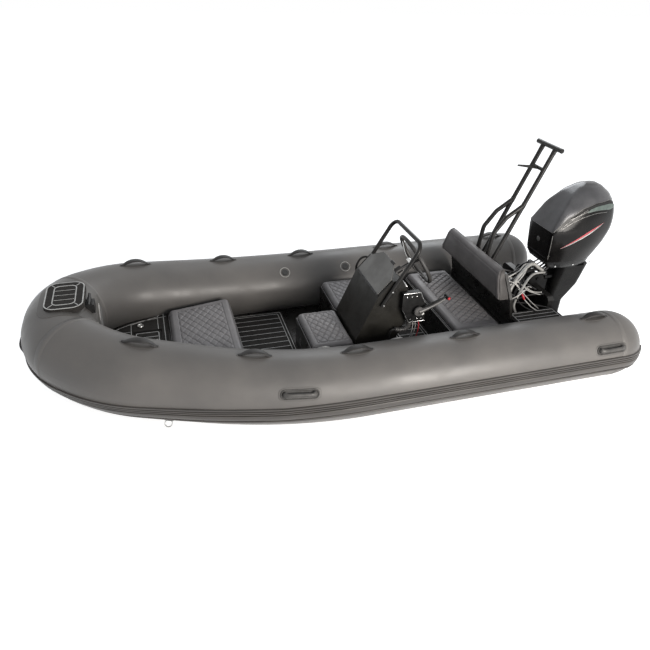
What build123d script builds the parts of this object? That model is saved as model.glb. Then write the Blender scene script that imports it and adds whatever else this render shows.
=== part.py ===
"""Inflatable boat with a rigid hull, helm console, stern seat, tow pole and outboard engine.

Frame: millimetres, origin on the waterline amidships, +X to the bow, +Y to port, +Z up.
Each function makes one piece, and the table at the end names the node that each becomes.
"""
from build123d import *
from math import atan2, cos, degrees, hypot, radians, sin, sqrt, tan
import os

# ---------------------------------------------------------------- whole boat
STERN_X = -2050           # tips of the collar's stern ends
BOW_X = 2100              # tip of its nose
SEAT_GAP = 0.3            # paint, glue line or seal between a piece and what carries it
LID_GAP = 0.5             # rubber seal between a lid and the rim that it rests on
RUN_CLEARANCE = 0.05      # radial, for pins and shafts that turn

# ---------------------------------------------------------------- inflatable collar
TUBE_R = 233
TUBE_Y = 712              # centreline of each side tube
TUBE_Z = 250              # height of that centreline aft
SHEER_RISE = 210          # how far the nose stands above it
NOSE_X = BOW_X - TUBE_R
END_X = STERN_X + TUBE_R    # where each side tube's rounded end starts
SHOULDER_X = 600          # forward of this the collar rises in one tilted plane
BOW_CORNER = (1550, 490)
NOSE_HALF = 220
# tangent length of the bend at each corner: shoulder, bow corner, nose corner
BEND_TANGENTS = (560, 190, 190)

# rubbing strake: a level band along the sides that climbs a little to the nose
STRAKE_Z = 230            # height of the strake's line aft
STRAKE_RISE = 95          # how far the line climbs from the shoulders to the bow
STRAKE_HALF = 60
STRAKE_BASE_T = 5
STRAKE_RIB_T = 13
STRAKE_AFT_X = STERN_X + 35
# grooves between the ribs: low and high edge from the strake's line
STRAKE_GROOVES = ((-40, -33), (13, 19))

# ---------------------------------------------------------------- hull and deck
TRANSOM_X = -1620         # aft face of hull and transom
KEEL_Z = -200
HULL_TOP = 60
BOW_TOP = 250             # hull top under the bow platform
DECK_T = 30
DECK_Z = HULL_TOP + DECK_T
WELL_HALF = 545
WELL_FRONT_X = 1206
WELL_FRONT_HALF = 400
# hull sections: x, keel z, chine y, chine z, flange y, flange z
HULL_SECTIONS = (
    (TRANSOM_X, KEEL_Z, 520, -40, 655, 30),
    (600, KEEL_Z, 520, -40, 655, 30),
    (1150, KEEL_Z + 40, 430, 25, 560, 110),
    (1550, KEEL_Z + 230, 250, 150, 400, 205),
    (1800, KEEL_Z + 400, 90, 215, 160, 232),
)

FLOOR_PAD_T = 6
PAD_MARGIN = 8
PAD_HALF = 500
TRANSOM_T = 50
TRANSOM_TOP = 435
TRANSOM_HALF = 325
TRANSOM_CORNER = 40

# ---------------------------------------------------------------- lockers and seats
LID_T = 12
CUSHION_T = 45
CUSHION_CORNER = 30
CUSHION_EDGE = 12
MODULE_TOP = 350
LID_Z = MODULE_TOP - CUSHION_T - LID_T - SEAT_GAP    # underside of the lids, where they hinge
RIM_Z = LID_Z - LID_GAP
WALL = 9

HINGE_R = 4.5                              # knuckles on the turning edge of each lid
HINGE_LENGTH = 70
HINGE_INSET = 70                           # middle of a knuckle from the end of its edge
HINGE_CLEAR = 0.5

BOW_LOCKER = ((745, 385), (1200, 290))     # (x, half width) at its aft and front edge
CONSOLE_SEAT = (5, 305, -40, 425)          # x low, x high, y low, y high
SIDE_LOCKER = (-450, -5, -472, -62)
STERN_SEAT = (-1162, -740, -455, 455)
STERN_LID_X = -1108                        # hinge line, ahead of a fixed shelf under the backrest
SHELF_LAP = 10

# ---------------------------------------------------------------- bow platform and anchor hatch
PLATFORM_TOP = 285
HATCH = (1262, 1442, 130)                  # x low, x high, half width
HATCH_T = 14
HATCH_CORNER = 12
HATCH_LEDGE = 15                           # rim that the hatch lid rests on
ANCHOR_WELL_FLOOR = 80
PLATFORM_PLAN = ((1720, 430), (WELL_FRONT_X, 520))   # x, half width: front and aft edge

# ---------------------------------------------------------------- helm console
CONSOLE_Y = (-30, 405)
# side outline: x, z from the foot of the front face round to the foot of the aft face
CONSOLE_OUTLINE = (
    (-3, DECK_Z), (-3, 352), (-140, 670), (-235, 775),
    (-300, 775), (-420, 585), (-392, 545), (-300, 330), (-285, DECK_Z),
)
CONSOLE_WALL = 8
CONSOLE_CORE = (-200, 400)                 # a point inside the side outline
HOOP_TUBE_D = 28
HOOP_FOOT = (-222, 700)
HOOP_TOP = (-408, 1020)
HOOP_BEND = 70
SCREEN_T = 5
WHEEL_CENTRE = (-485, 190, 810)
WHEEL_R = 180
WHEEL_RIM_D = 28
WHEEL_TILT = 30                            # degrees that the wheel's shaft points above level
WHEEL_DISH = 45                            # hub lies this far ahead of the rim's plane
SHAFT_R = 10
THROTTLE_PIVOT = (-415, 560)

# ---------------------------------------------------------------- backrest and tow pole
BACKREST_X = -1190                         # aft face of the black support panel at its foot
BACKREST_PANEL_T = 22
POLE_TUBE_D = 32
POLE_HALF = 70
POLE_TOP = (-1507, 1490)
POLE_BAR_HALF = 140
POLE_BRACE_LEAVE = 0.54                    # share of the straight leg where the brace leaves it
POLE_HOOK = 0.83                           # share of the straight leg where the rope horn sits

# ---------------------------------------------------------------- outboard engine
TILT_X = -1602
TILT_Z = 482
STEER_X = -1742
TILT_PIN_R = 14
STEER_PIN_R = 15
PROP_SHAFT_Z = -385
PROP_R = 145

# ---------------------------------------------------------------- fittings on the collar
# run is the length along the centreline from the stern cone; around is degrees up from outboard
STRAP_LENGTH = 210
STRAP_WIDTH = 42
STRAP_RISE = 30
STRAP_T = 6
STRAP_SINK = 8
STRAP_AROUND = 90
STRAP_RUNS = (165, 1170, 1920, 2580, 3260)
GRIP_LENGTH = 230
GRIP_WIDTH = 62
GRIP_BASE_T = 7
GRIP_RISE = 38
GRIP_SINK = 5
GRIP_END = 14                              # base left clear beyond each end of the bar
GRIP_FOOT = 31
GRIP_BAR_HALF = 13
GRIP_BAR_T = 10
GRIP_LIP = 2
GRIP_AROUND = 26
GRIP_RUNS = (140, 2320)
VALVE_R = 26
VALVE_RISE = 7
VALVE_AROUND = 134
VALVE_RUNS = (1580, 2100)
VALVE_SINK = 6
NOSE_GRIP_UP = -6
NOSE_GRIP_RISE = 30
TOW_RING_RUN = 3050
TOW_RING_AROUND = -60
TOW_PATCH_R = 38
TOW_RING_R = 22
TOW_WIRE_R = 4
TOW_PATCH_T = 8

# ---------------------------------------------------------------- smaller parts
HATCH_GAP = 5
DRAIN_R = 13
DRAIN_Y = -180
DRAIN_Z = 110
SIDE_DECK_X = -1222
SCREEN_H = 225
SCREEN_INSET = 22
SCREEN_SHOULDER = 0.62                     # share of its height where the side edges turn in
HOOP_LAP = 112                             # length of hoop that lies on the console's side
HUB_R = 32
HUB_T = 26
SPOKE_R = 5
WHEEL_SPOKES = (90, 210, 330)
BEZEL_R = 48
BEZEL_T = 14
COLUMN_R = 24
COLUMN_T = 50
SHAFT_END_GAP = 2
PANEL_UP = 12                              # lower edge of the instrument plate up the dash
PANEL_HEIGHT = 180
PANEL_WIDTH = 390
PANEL_T = 4
GAUGE_SPREAD = 125
GAUGE_UP = 110
GAUGE_R = 34
GAUGE_T = 11
THROTTLE_BOX_T = 42
BACKREST_FRONT_X = -1030
BACKREST_TOP_X = -1112
BACKREST_TOP_Z = 722
BACKREST_PAD_LOW = 548
BACKREST_PAD_TOP = 760
BACKREST_HALF = (STERN_SEAT[3], 385)       # half length below and at the top
POLE_FOOT = (-1157, 615)
# brace bends below the leg, x and z
POLE_BRACE = ((-1228, 1005), (-1146, 892), (-1130, 735), (-1157, 625))
POLE_BRACE_BEND = 60
POLE_PLATE_Z = (560, 690)
POLE_PLATE_T = 8
POLE_HORN = 170
BOW_STEP = (1690, 1925, 175)               # x low, x high, half width
BOW_STEP_Z = 704
BOW_STEP_SKIRT = 30
BOW_CLEAT = (1672, 640)
CLAMP_Y = (88, 106)
KNUCKLE_R = 34
KNUCKLE_HALF = 78
SWIVEL_R = 32
SWIVEL_ARM_HALF = 46
SWIVEL_TOP = 440
SWIVEL_LOW = -30
YOKE_GAP = 6
YOKE_T = 20
YOKE_LAP = 40
LEG_FRONT_X = -1786
# z, front x, aft x, half width
LEG_SECTIONS = (
    (560, LEG_FRONT_X, -2068, 104),
    (380, LEG_FRONT_X, -2030, 84),
    (230, LEG_FRONT_X, -1940, 62),
    (-50, LEG_FRONT_X, -1950, 52),
    (-225, -1796, -1975, 34),
)
LOWER_COWL_SECTIONS = (
    (560.3, -1700, -2070, 112),
    (600, -1645, -2076, 146),
    (638.2, -1624, -2080, 156),
)
STRUT_SECTIONS = (
    (-225.3, -1796, -1985, 30),
    (-260, -1800, -1985, 26),
    (-350, -1805, -1975, 20),
)
COWL_WALL = 5
# cowl sections, low to high: z, front x, aft x, half width of the front panel, half width at the widest
COWL_SECTIONS = (
    (638.5, -1622, -2082, 138, 160),
    (780, -1610, -2160, 146, 182),
    (885, -1600, -2190, 150, 188),
    (1020, -1668, -2172, 120, 178),
    (1125, -1750, -2105, 72, 140),
    (1180, -1830, -2035, 36, 88),
    (1200, -1890, -1985, 14, 40),
)
COWL_WIDEST = 0.45        # where along its length each section is widest, from the front
COWL_STERN = 0.80         # where the sides turn in to the rounded stern
COWL_STERN_WIDTH = 0.80   # half width there, as a share of the widest
POWERHEAD = (-1690, -2010, 105, 360)
PLATE_Z = -228
TORPEDO_R = 46
TORPEDO_X = (-1750, -2078)
SKEG_Z = -560
PROP_X = (-2084, -2190)
PROP_HUB_R = 42
PROP_SHAFT_R = 9
BLADE_HALF = (44, 58)
BLADE_PITCH = 28
BLADE_T = 6
BLADES = 3


# ================================================================ shared forms
def block(x0, x1, y0, y1, z0, z1):
    """Box between two corners."""
    return Pos((x0 + x1) / 2, (y0 + y1) / 2, (z0 + z1) / 2) * Box(x1 - x0, y1 - y0, z1 - z0)


def section_plane(x):
    """Plane across the boat at x, with its own x to port and its own y up."""
    return Plane(origin=(x, 0, 0), x_dir=(0, 1, 0), z_dir=(1, 0, 0))


def side_prism(outline, y0, y1):
    """Outline of (x, z) points, solid from y0 to y1."""
    plane = Plane(origin=(0, y1, 0), x_dir=(1, 0, 0), z_dir=(0, -1, 0))
    return extrude(plane * make_face(Polyline(*outline, close=True)), amount=y1 - y0)


def plan_prism(outline, z0, z1):
    """Outline of (x, y) points, solid from z0 to z1."""
    return extrude(Pos(0, 0, z0) * make_face(Polyline(*outline, close=True)), amount=z1 - z0)


def trapezoid_plan(table):
    """Plan outline from ((x, half width), (x, half width))."""
    (x0, h0), (x1, h1) = table
    return ((x0, -h0), (x1, -h1), (x1, h1), (x0, h0))


def bent_tube(points, bend, diameter):
    """Round tube along straight runs with bends of one radius."""
    path = FilletPolyline(*points, radius=bend) if len(points) > 2 else Line(*points)
    start = Plane(origin=path @ 0, z_dir=path % 0)
    return sweep(start * Circle(diameter / 2), path=path)


def rod(start, end, radius):
    """Straight round bar between two points."""
    axis = Vector(*end) - Vector(*start)
    return extrude(Plane(origin=start, z_dir=axis) * Circle(radius), amount=axis.length)


def mirrored(solid):
    """Copy on the other side of the boat."""
    return mirror(solid, about=Plane.XZ)


# ================================================================ inflatable collar
def collar_height(x):
    """Height of the collar's centreline over x."""
    return TUBE_Z + max(0, x - SHOULDER_X) * SHEER_RISE / (NOSE_X - SHOULDER_X)


def collar_edges():
    """Centreline of the port half, stern to nose: line, bend, line, bend, line, bend, line."""
    plan = ((END_X, TUBE_Y), (SHOULDER_X, TUBE_Y), BOW_CORNER, (NOSE_X, NOSE_HALF), (NOSE_X, 0))
    points = [Vector(x, y, collar_height(x)) for x, y in plan]
    radii = []
    for before, corner, after, tangent in zip(points, points[1:], points[2:], BEND_TANGENTS):
        turn = radians((corner - before).get_angle(after - corner))
        radii.append(tangent / tan(turn / 2))
    path = FilletPolyline(*points, radius=radii)
    return sorted(path.edges(), key=lambda edge: (edge @ 0.5).X - (edge @ 0.5).Y)


def collar_sweep(edges, radius):
    """Round tube of the given radius along some of the centreline's edges."""
    path = Wire(edges)
    start = Plane(origin=path @ 0, z_dir=path % 0)
    return sweep(start * Circle(radius), path=path)


def stern_end(extra):
    """Rounded end of a side tube, with its skin moved out by extra."""
    return Pos(END_X, TUBE_Y, TUBE_Z) * Sphere(TUBE_R + extra)


def collar_envelope(extra):
    """Both halves of the collar with the skin moved out, to cut what seats on it."""
    half = collar_sweep(collar_edges(), TUBE_R + extra) + stern_end(extra)
    return half + mirrored(half)


def side_tube():
    return collar_sweep(collar_edges()[:1], TUBE_R) + stern_end(0)


def shoulder_tube():
    return collar_sweep(collar_edges()[1:3], TUBE_R)


def nose_tube():
    half = collar_sweep(collar_edges()[3:], TUBE_R)
    return half + mirrored(half)


def strake_slab(low, high):
    """Slab across the whole boat between two heights off the strake's line."""
    x0, x1, top = STERN_X - 50, BOW_X + 50, STRAKE_Z + STRAKE_RISE
    outline = ((x0, STRAKE_Z + low), (SHOULDER_X, STRAKE_Z + low), (x1, top + low),
               (x1, top + high), (SHOULDER_X, STRAKE_Z + high), (x0, STRAKE_Z + high))
    return side_prism(outline, -TUBE_Y - 2 * TUBE_R, TUBE_Y + 2 * TUBE_R)


def rub_strake(envelope):
    """Ribbed rubber strake bonded round the outside of the whole collar."""
    band = (strake_slab(-STRAKE_HALF, STRAKE_HALF) & collar_envelope(STRAKE_RIB_T)) - envelope
    grooves = [strake_slab(low, high) for low, high in STRAKE_GROOVES]
    skin = collar_envelope(STRAKE_BASE_T)
    for groove in grooves:
        band -= groove - skin
    inside = [(STERN_X - 50, TUBE_Y), (SHOULDER_X, TUBE_Y), BOW_CORNER, (NOSE_X, NOSE_HALF)]
    inside += [(x, -y) for x, y in reversed(inside)]
    band -= plan_prism(inside, 0, TUBE_Z + SHEER_RISE)
    return band - block(STERN_X - 50, STRAKE_AFT_X, -TUBE_Y - TUBE_R, TUBE_Y + TUBE_R, 0, 2 * TUBE_Z)


def collar_station(run):
    """Point and heading of the port centreline at a length from the stern cone."""
    for edge in collar_edges():
        if run <= edge.length:
            return edge.position_at(run / edge.length), edge.tangent_at(run / edge.length)
        run -= edge.length
    raise ValueError("station lies beyond the nose")


def skin_plane(run, around):
    """Plane on the tube's skin: z out of the skin, x along the tube, turned up from outboard."""
    centre, heading = collar_station(run)
    up = (Vector(0, 0, 1) - heading * heading.Z).normalized()
    outboard = up.cross(heading)
    out = outboard * cos(radians(around)) + up * sin(radians(around))
    return Plane(origin=centre + out * TUBE_R, x_dir=heading, z_dir=out)


# ================================================================ fittings on the collar
def grab_strap(run):
    """Low arched handle glued along the top of the tube."""
    arch_r = (STRAP_LENGTH ** 2 / 4 + STRAP_RISE ** 2) / (2 * STRAP_RISE)
    half = STRAP_LENGTH / 2
    ring = Pos(0, 0, STRAP_RISE - arch_r) * Rot(90, 0, 0) * (
        Cylinder(arch_r, STRAP_WIDTH) - Cylinder(arch_r - STRAP_T, STRAP_WIDTH))
    arch = ring & block(-half, half, -STRAP_WIDTH, STRAP_WIDTH, -STRAP_SINK, STRAP_RISE + 1)
    return skin_plane(run, STRAP_AROUND) * arch


def grab_straps(envelope):
    port = [grab_strap(run) - envelope for run in STRAP_RUNS]
    return port + [mirrored(strap) for strap in port]


def raised_grip(rise):
    """Moulded grip lying on z = 0: an oval base with a raised bar over a finger gap."""
    half = GRIP_LENGTH / 2
    low, high = GRIP_SINK + GRIP_BASE_T, GRIP_SINK + rise
    base = extrude(SlotOverall(GRIP_LENGTH, GRIP_WIDTH), amount=low)
    bar = block(-half + GRIP_END, half - GRIP_END, -GRIP_BAR_HALF, GRIP_BAR_HALF, low, high)
    reach = half - GRIP_END - GRIP_FOOT
    gap = block(-reach, reach, -GRIP_WIDTH, GRIP_WIDTH, low + GRIP_LIP, high - GRIP_BAR_T)
    return Pos(0, 0, -GRIP_SINK) * (base + bar - gap)


def lifting_grips(envelope):
    port = [skin_plane(run, GRIP_AROUND) * raised_grip(GRIP_RISE) - envelope for run in GRIP_RUNS]
    return port + [mirrored(grip) for grip in port]


def valves(envelope):
    """Round inflation valves on the inner shoulder of each chamber."""
    disc = Pos(0, 0, (VALVE_RISE - VALVE_SINK) / 2) * Cylinder(VALVE_R, VALVE_RISE + VALVE_SINK)
    port = [skin_plane(run, VALVE_AROUND) * disc - envelope for run in VALVE_RUNS]
    return port + [mirrored(valve) for valve in port]


def nose_grip(envelope):
    """Carrying handle across the front of the nose."""
    out = Vector(cos(radians(NOSE_GRIP_UP)), 0, sin(radians(NOSE_GRIP_UP)))
    centre = Vector(NOSE_X, 0, TUBE_Z + SHEER_RISE) + out * TUBE_R
    return Plane(origin=centre, x_dir=(0, 1, 0), z_dir=out) * raised_grip(NOSE_GRIP_RISE) - envelope


def tow_rings(envelope):
    """Patches with towing rings under the bow shoulders."""
    patch = Cylinder(TOW_PATCH_R, 2 * TOW_PATCH_T)
    ring = Pos(0, 0, TOW_PATCH_T + TOW_RING_R) * Rot(90, 0, 0) * Torus(TOW_RING_R, TOW_WIRE_R)
    port = [skin_plane(TOW_RING_RUN, TOW_RING_AROUND) * (patch + ring) - envelope]
    return port + [mirrored(piece) for piece in port]


# ================================================================ hull and deck
def hull(envelope):
    faces = []
    for x, keel, chine_y, chine_z, flange_y, flange_z in HULL_SECTIONS:
        port = [(chine_y, chine_z), (flange_y, flange_z), (flange_y, BOW_TOP)]
        starboard = [(-y, z) for y, z in reversed(port)]
        faces.append(section_plane(x) * make_face(Polyline((0, keel), *port, *starboard, close=True)))
    solid = loft(faces, ruled=True) - envelope
    solid -= plan_prism(well_outline(0, TRANSOM_X - 1), HULL_TOP, BOW_TOP + 1)
    return solid - anchor_well(ANCHOR_WELL_FLOOR, BOW_TOP + 1)


def anchor_well(z0, z1):
    """Opening under the hatch lid, inside the ledge that the lid rests on."""
    x0, x1, half = HATCH
    side = half - HATCH_LEDGE
    return block(x0 + HATCH_LEDGE, x1 - HATCH_LEDGE, -side, side, z0, z1)


def well_outline(inset, x0):
    """Plan of the cockpit well cut into the hull, from x0 forward, drawn in by inset."""
    half, front = WELL_HALF - inset, WELL_FRONT_HALF - inset
    x1 = WELL_FRONT_X - inset
    return ((x0, -half), (SHOULDER_X, -half), (x1, -front), (x1, front), (SHOULDER_X, half), (x0, half))


def deck(envelope):
    return plan_prism(well_outline(SEAT_GAP, TRANSOM_X + TRANSOM_T + SEAT_GAP), HULL_TOP, DECK_Z) - envelope


def floor_pads(envelope):
    """Foam deck mats ahead of the helm seat and in the helmsman's foot well."""
    x0, x1 = CONSOLE_SEAT[1] + PAD_MARGIN, BOW_LOCKER[0][0] - PAD_MARGIN
    fore = block(x0, x1, -PAD_HALF, PAD_HALF, DECK_Z, DECK_Z + FLOOR_PAD_T)
    x0, x1 = STERN_SEAT[1] + PAD_MARGIN, SIDE_LOCKER[0] - PAD_MARGIN
    aft = block(x0, x1, -PAD_HALF, PAD_HALF, DECK_Z, DECK_Z + FLOOR_PAD_T)
    return [fore - envelope, aft - envelope]


def bow_platform(envelope):
    x0, x1, half = HATCH
    plate = plan_prism(trapezoid_plan(PLATFORM_PLAN), BOW_TOP, PLATFORM_TOP) - envelope
    side = half + HATCH_GAP
    plate -= block(x0 - HATCH_GAP, x1 + HATCH_GAP, -side, side, PLATFORM_TOP - HATCH_T - LID_GAP, PLATFORM_TOP + 1)
    return plate - anchor_well(BOW_TOP - 1, PLATFORM_TOP + 1)


def anchor_hatch():
    x0, x1, half = HATCH
    lid = block(x0, x1, -half, half, PLATFORM_TOP - HATCH_T, PLATFORM_TOP)
    lid = fillet(lid.edges().filter_by(Axis.Z), HATCH_CORNER)
    return lid + hinge_knuckles(x1, PLATFORM_TOP, -half, half)


def transom():
    board = block(TRANSOM_X, TRANSOM_X + TRANSOM_T, -TRANSOM_HALF, TRANSOM_HALF, HULL_TOP, TRANSOM_TOP)
    board = fillet(board.edges().filter_by(Axis.X).group_by(Axis.Z)[-1], TRANSOM_CORNER)
    drain = rod((TRANSOM_X - 1, DRAIN_Y, DRAIN_Z), (TRANSOM_X + TRANSOM_T + 1, DRAIN_Y, DRAIN_Z), DRAIN_R)
    return board - drain


def stern_side_decks(envelope):
    """Moulded steps each side of the engine well, from the seat's bulkhead to the transom."""
    inner = TRANSOM_HALF + SEAT_GAP
    port = block(TRANSOM_X, SIDE_DECK_X, inner, WELL_HALF + 60, DECK_Z + SEAT_GAP, MODULE_TOP) - envelope
    return [port, mirrored(port)]


# ================================================================ lockers, seats and their lids
def locker(outline, inner):
    """Open-topped box standing on the deck."""
    return plan_prism(outline, DECK_Z, RIM_Z) - plan_prism(inner, DECK_Z + WALL, RIM_Z + 1)


def rectangle(x0, x1, y0, y1):
    return ((x0, y0), (x1, y0), (x1, y1), (x0, y1))


def box_locker(size):
    x0, x1, y0, y1 = size
    return locker(rectangle(*size), rectangle(x0 + WALL, x1 - WALL, y0 + WALL, y1 - WALL))


def bow_locker():
    (x0, h0), (x1, h1) = BOW_LOCKER
    inner = trapezoid_plan(((x0 + WALL, h0 - WALL), (x1 - WALL, h1 - WALL)))
    return locker(trapezoid_plan(BOW_LOCKER), inner) - hinge_knuckles(x1, LID_Z, -h1, h1, HINGE_CLEAR)


def hinge_knuckles(x, z, y0, y1, extra=0):
    """Two round knuckles near the ends of a lid's turning edge."""
    knuckles = []
    for y in (y0 + HINGE_INSET, y1 - HINGE_INSET):
        reach = HINGE_LENGTH / 2 + extra
        knuckles.append(rod((x, y - reach, z), (x, y + reach, z), HINGE_R + extra))
    return knuckles[0] + knuckles[1]


def seat(name, size, lid_x, hinge_x):
    """Box, lid and cushion of a seat: lid_x holds the lid's aft and forward edges."""
    y0, y1 = size[2:]
    outline = rectangle(*lid_x, y0, y1)
    box = box_locker(size)
    if lid_x[0] > size[0]:
        box += block(size[0], lid_x[0] + SHELF_LAP, y0, y1, RIM_Z - WALL, RIM_Z)
    return {
        name + "_box": box - hinge_knuckles(hinge_x, LID_Z, y0, y1, HINGE_CLEAR),
        name + "_lid": lid_board(outline) + hinge_knuckles(hinge_x, LID_Z, y0, y1),
        name + "_cushion": cushion(outline),
    }


def lid_board(outline):
    return plan_prism(outline, LID_Z, LID_Z + LID_T)


def bow_lid():
    x, half = BOW_LOCKER[1]
    return lid_board(trapezoid_plan(BOW_LOCKER)) + hinge_knuckles(x, LID_Z, -half, half)


def cushion(outline):
    low = LID_Z + LID_T + SEAT_GAP
    pad = plan_prism(outline, low, low + CUSHION_T)
    pad = fillet(pad.edges().filter_by(Axis.Z), CUSHION_CORNER)
    return fillet(pad.edges().group_by(Axis.Z)[-1], CUSHION_EDGE)


# ================================================================ helm console
def console_prism(inset):
    """Console's side outline, drawn in by inset, across its whole width less the inset."""
    y0, y1 = CONSOLE_Y
    plane = Plane(origin=(0, y1 - inset, 0), x_dir=(1, 0, 0), z_dir=(0, -1, 0))
    face = make_face(Polyline(*CONSOLE_OUTLINE, close=True))
    if inset:
        face = offset(face, amount=-inset, kind=Kind.INTERSECTION)
    return extrude(plane * face, amount=y1 - y0 - 2 * inset)


def console():
    """Moulded helm console, a shell closed all round but for its foot."""
    outer = console_prism(0)
    foot = block(CONSOLE_OUTLINE[-1][0] + CONSOLE_WALL, CONSOLE_OUTLINE[0][0] - CONSOLE_WALL,
                 CONSOLE_Y[0] + CONSOLE_WALL, CONSOLE_Y[1] - CONSOLE_WALL, DECK_Z - 1, DECK_Z + 2 * CONSOLE_WALL)
    return outer - console_prism(CONSOLE_WALL) - foot


def face_plane(low, high, y):
    """Plane on a console face from its low to its high outline point: y up the face, z outward."""
    along = Vector(high[0] - low[0], 0, high[1] - low[1]).normalized()
    normal = Vector(0, 1, 0).cross(along)
    if (Vector(low[0], 0, low[1]) - Vector(CONSOLE_CORE[0], 0, CONSOLE_CORE[1])).dot(normal) < 0:
        normal = -normal
    return Plane(origin=(low[0], y, low[1]), x_dir=along.cross(normal), z_dir=normal)


def windscreen():
    """Smoked plate that stands on the sloping face ahead of the dash."""
    half = (CONSOLE_Y[1] - CONSOLE_Y[0]) / 2 - SCREEN_INSET
    shoulder = SCREEN_H * SCREEN_SHOULDER
    outline = ((-half, 0), (half, 0), (half, shoulder), (half / 2, SCREEN_H), (-half / 2, SCREEN_H),
               (-half, shoulder))
    plane = face_plane(CONSOLE_OUTLINE[2], CONSOLE_OUTLINE[3], sum(CONSOLE_Y) / 2)
    plate = extrude(Pos(0, 0, SEAT_GAP) * make_face(Polyline(*outline, close=True)), amount=SCREEN_T)
    return plane * plate


def console_rail():
    """Grab hoop of bent tube bolted to both sides of the console."""
    out = HOOP_TUBE_D / 2 + SEAT_GAP
    y0, y1 = CONSOLE_Y[0] - out, CONSOLE_Y[1] + out
    lean = Vector(HOOP_TOP[0] - HOOP_FOOT[0], 0, HOOP_TOP[1] - HOOP_FOOT[1]).normalized()
    foot = Vector(HOOP_FOOT[0], 0, HOOP_FOOT[1]) - lean * HOOP_LAP
    points = [(foot.X, y0, foot.Z), (HOOP_TOP[0], y0, HOOP_TOP[1]),
              (HOOP_TOP[0], y1, HOOP_TOP[1]), (foot.X, y1, foot.Z)]
    return bent_tube(points, HOOP_BEND, HOOP_TUBE_D)


def wheel_plane():
    """Plane of the steering wheel's rim, z towards the helmsman."""
    tilt = radians(WHEEL_TILT)
    return Plane(origin=WHEEL_CENTRE, x_dir=(0, 1, 0), z_dir=(-cos(tilt), 0, sin(tilt)))


def dash_distance():
    """How far the wheel's plane stands off the dash, along the shaft."""
    dash = face_plane(CONSOLE_OUTLINE[5], CONSOLE_OUTLINE[4], WHEEL_CENTRE[1])
    off = (Vector(*WHEEL_CENTRE) - dash.origin).dot(dash.z_dir)
    return off / wheel_plane().z_dir.dot(dash.z_dir)


def helm_shaft():
    """Steering helm: a bezel on the dash and the shaft that the wheel turns on."""
    foot = -dash_distance() - BEZEL_T / 2
    top = HUB_T / 2 - WHEEL_DISH - SHAFT_END_GAP
    helm = shaft_length(foot, BEZEL_T * 1.5, BEZEL_R) + shaft_length(foot, BEZEL_T + COLUMN_T, COLUMN_R)
    helm += shaft_length(foot, top - foot, SHAFT_R)
    return wheel_plane() * helm - console_prism(-SEAT_GAP)


def shaft_length(start, length, radius):
    """Cylinder along the steering shaft from a height off the wheel's plane."""
    return Pos(0, 0, start + length / 2) * Cylinder(radius, length)


def steering_wheel():
    rim = Torus(WHEEL_R, WHEEL_RIM_D / 2)
    hub = Pos(0, 0, -WHEEL_DISH) * Cylinder(HUB_R, HUB_T)
    wheel = rim + hub
    for turn in WHEEL_SPOKES:
        start = (0, 0, -WHEEL_DISH)
        end = (WHEEL_R * cos(radians(turn)), WHEEL_R * sin(radians(turn)), 0)
        wheel += rod(start, end, SPOKE_R)
    bore = Pos(0, 0, -WHEEL_DISH) * Cylinder(SHAFT_R + RUN_CLEARANCE, HUB_T * 2)
    cap = Pos(0, 0, -WHEEL_DISH + HUB_T / 2 + 2) * Cylinder(HUB_R, 4)
    return wheel_plane() * (wheel - bore + cap)


def instrument_panel():
    """Plate on the dash with two round gauges, bored for the steering helm."""
    dash = face_plane(CONSOLE_OUTLINE[5], CONSOLE_OUTLINE[4], sum(CONSOLE_Y) / 2)
    face = Pos(0, PANEL_UP + PANEL_HEIGHT / 2) * Rectangle(PANEL_WIDTH, PANEL_HEIGHT)
    plate = extrude(Pos(0, 0, SEAT_GAP) * face, amount=PANEL_T)
    for side in (-1, 1):
        ring = Pos(side * GAUGE_SPREAD, GAUGE_UP, SEAT_GAP) * Circle(GAUGE_R)
        plate += extrude(ring, amount=GAUGE_T)
    helm = wheel_plane() * Cylinder(BEZEL_R + 1, 3 * dash_distance())
    return dash * plate - helm


def throttle_control():
    """Side-mounted control box with its lever on a round boss."""
    y0 = CONSOLE_Y[1] + SEAT_GAP
    x, z = THROTTLE_PIVOT
    box = side_prism(((x + 115, z + 135), (x - 8, z + 135), (x - 50, z + 50), (x - 62, z - 95), (x + 60, z - 95),
                      (x + 115, z + 20)), y0, y0 + THROTTLE_BOX_T)
    y1 = y0 + THROTTLE_BOX_T
    boss = rod((x, y1, z), (x, y1 + 24, z), 34)
    lever = side_prism(((x - 8, z - 12), (x + 8, z + 14), (x - 205, z + 96), (x - 212, z + 78)), y1 + 10, y1 + 24)
    knob = rod((x - 203, y1 - 8, z + 84), (x - 203, y1 + 40, z + 84), 14)
    return box + boss + lever + knob


# ================================================================ stern seat back and tow pole
def backrest_panel():
    """Sloping bulkhead behind the stern seat, with its upper corners cut back."""
    x, xt = BACKREST_X, BACKREST_TOP_X
    t = BACKREST_PANEL_T
    side = side_prism(((x + t, DECK_Z), (x + t, MODULE_TOP), (xt + t, BACKREST_TOP_Z), (xt, BACKREST_TOP_Z),
                       (x, MODULE_TOP), (x, DECK_Z)), -BACKREST_HALF[0], BACKREST_HALF[0])
    return side & backrest_ends(BACKREST_TOP_Z)


def backrest_ends(top):
    """Block across the boat whose ends lean in towards the top."""
    low, high = BACKREST_HALF
    outline = ((-low, 0), (low, 0), (low, BACKREST_PAD_LOW), (high, top), (-high, top), (-low, BACKREST_PAD_LOW))
    face = section_plane(BACKREST_X - 100) * make_face(Polyline(*outline, close=True))
    return extrude(face, amount=400)


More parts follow.
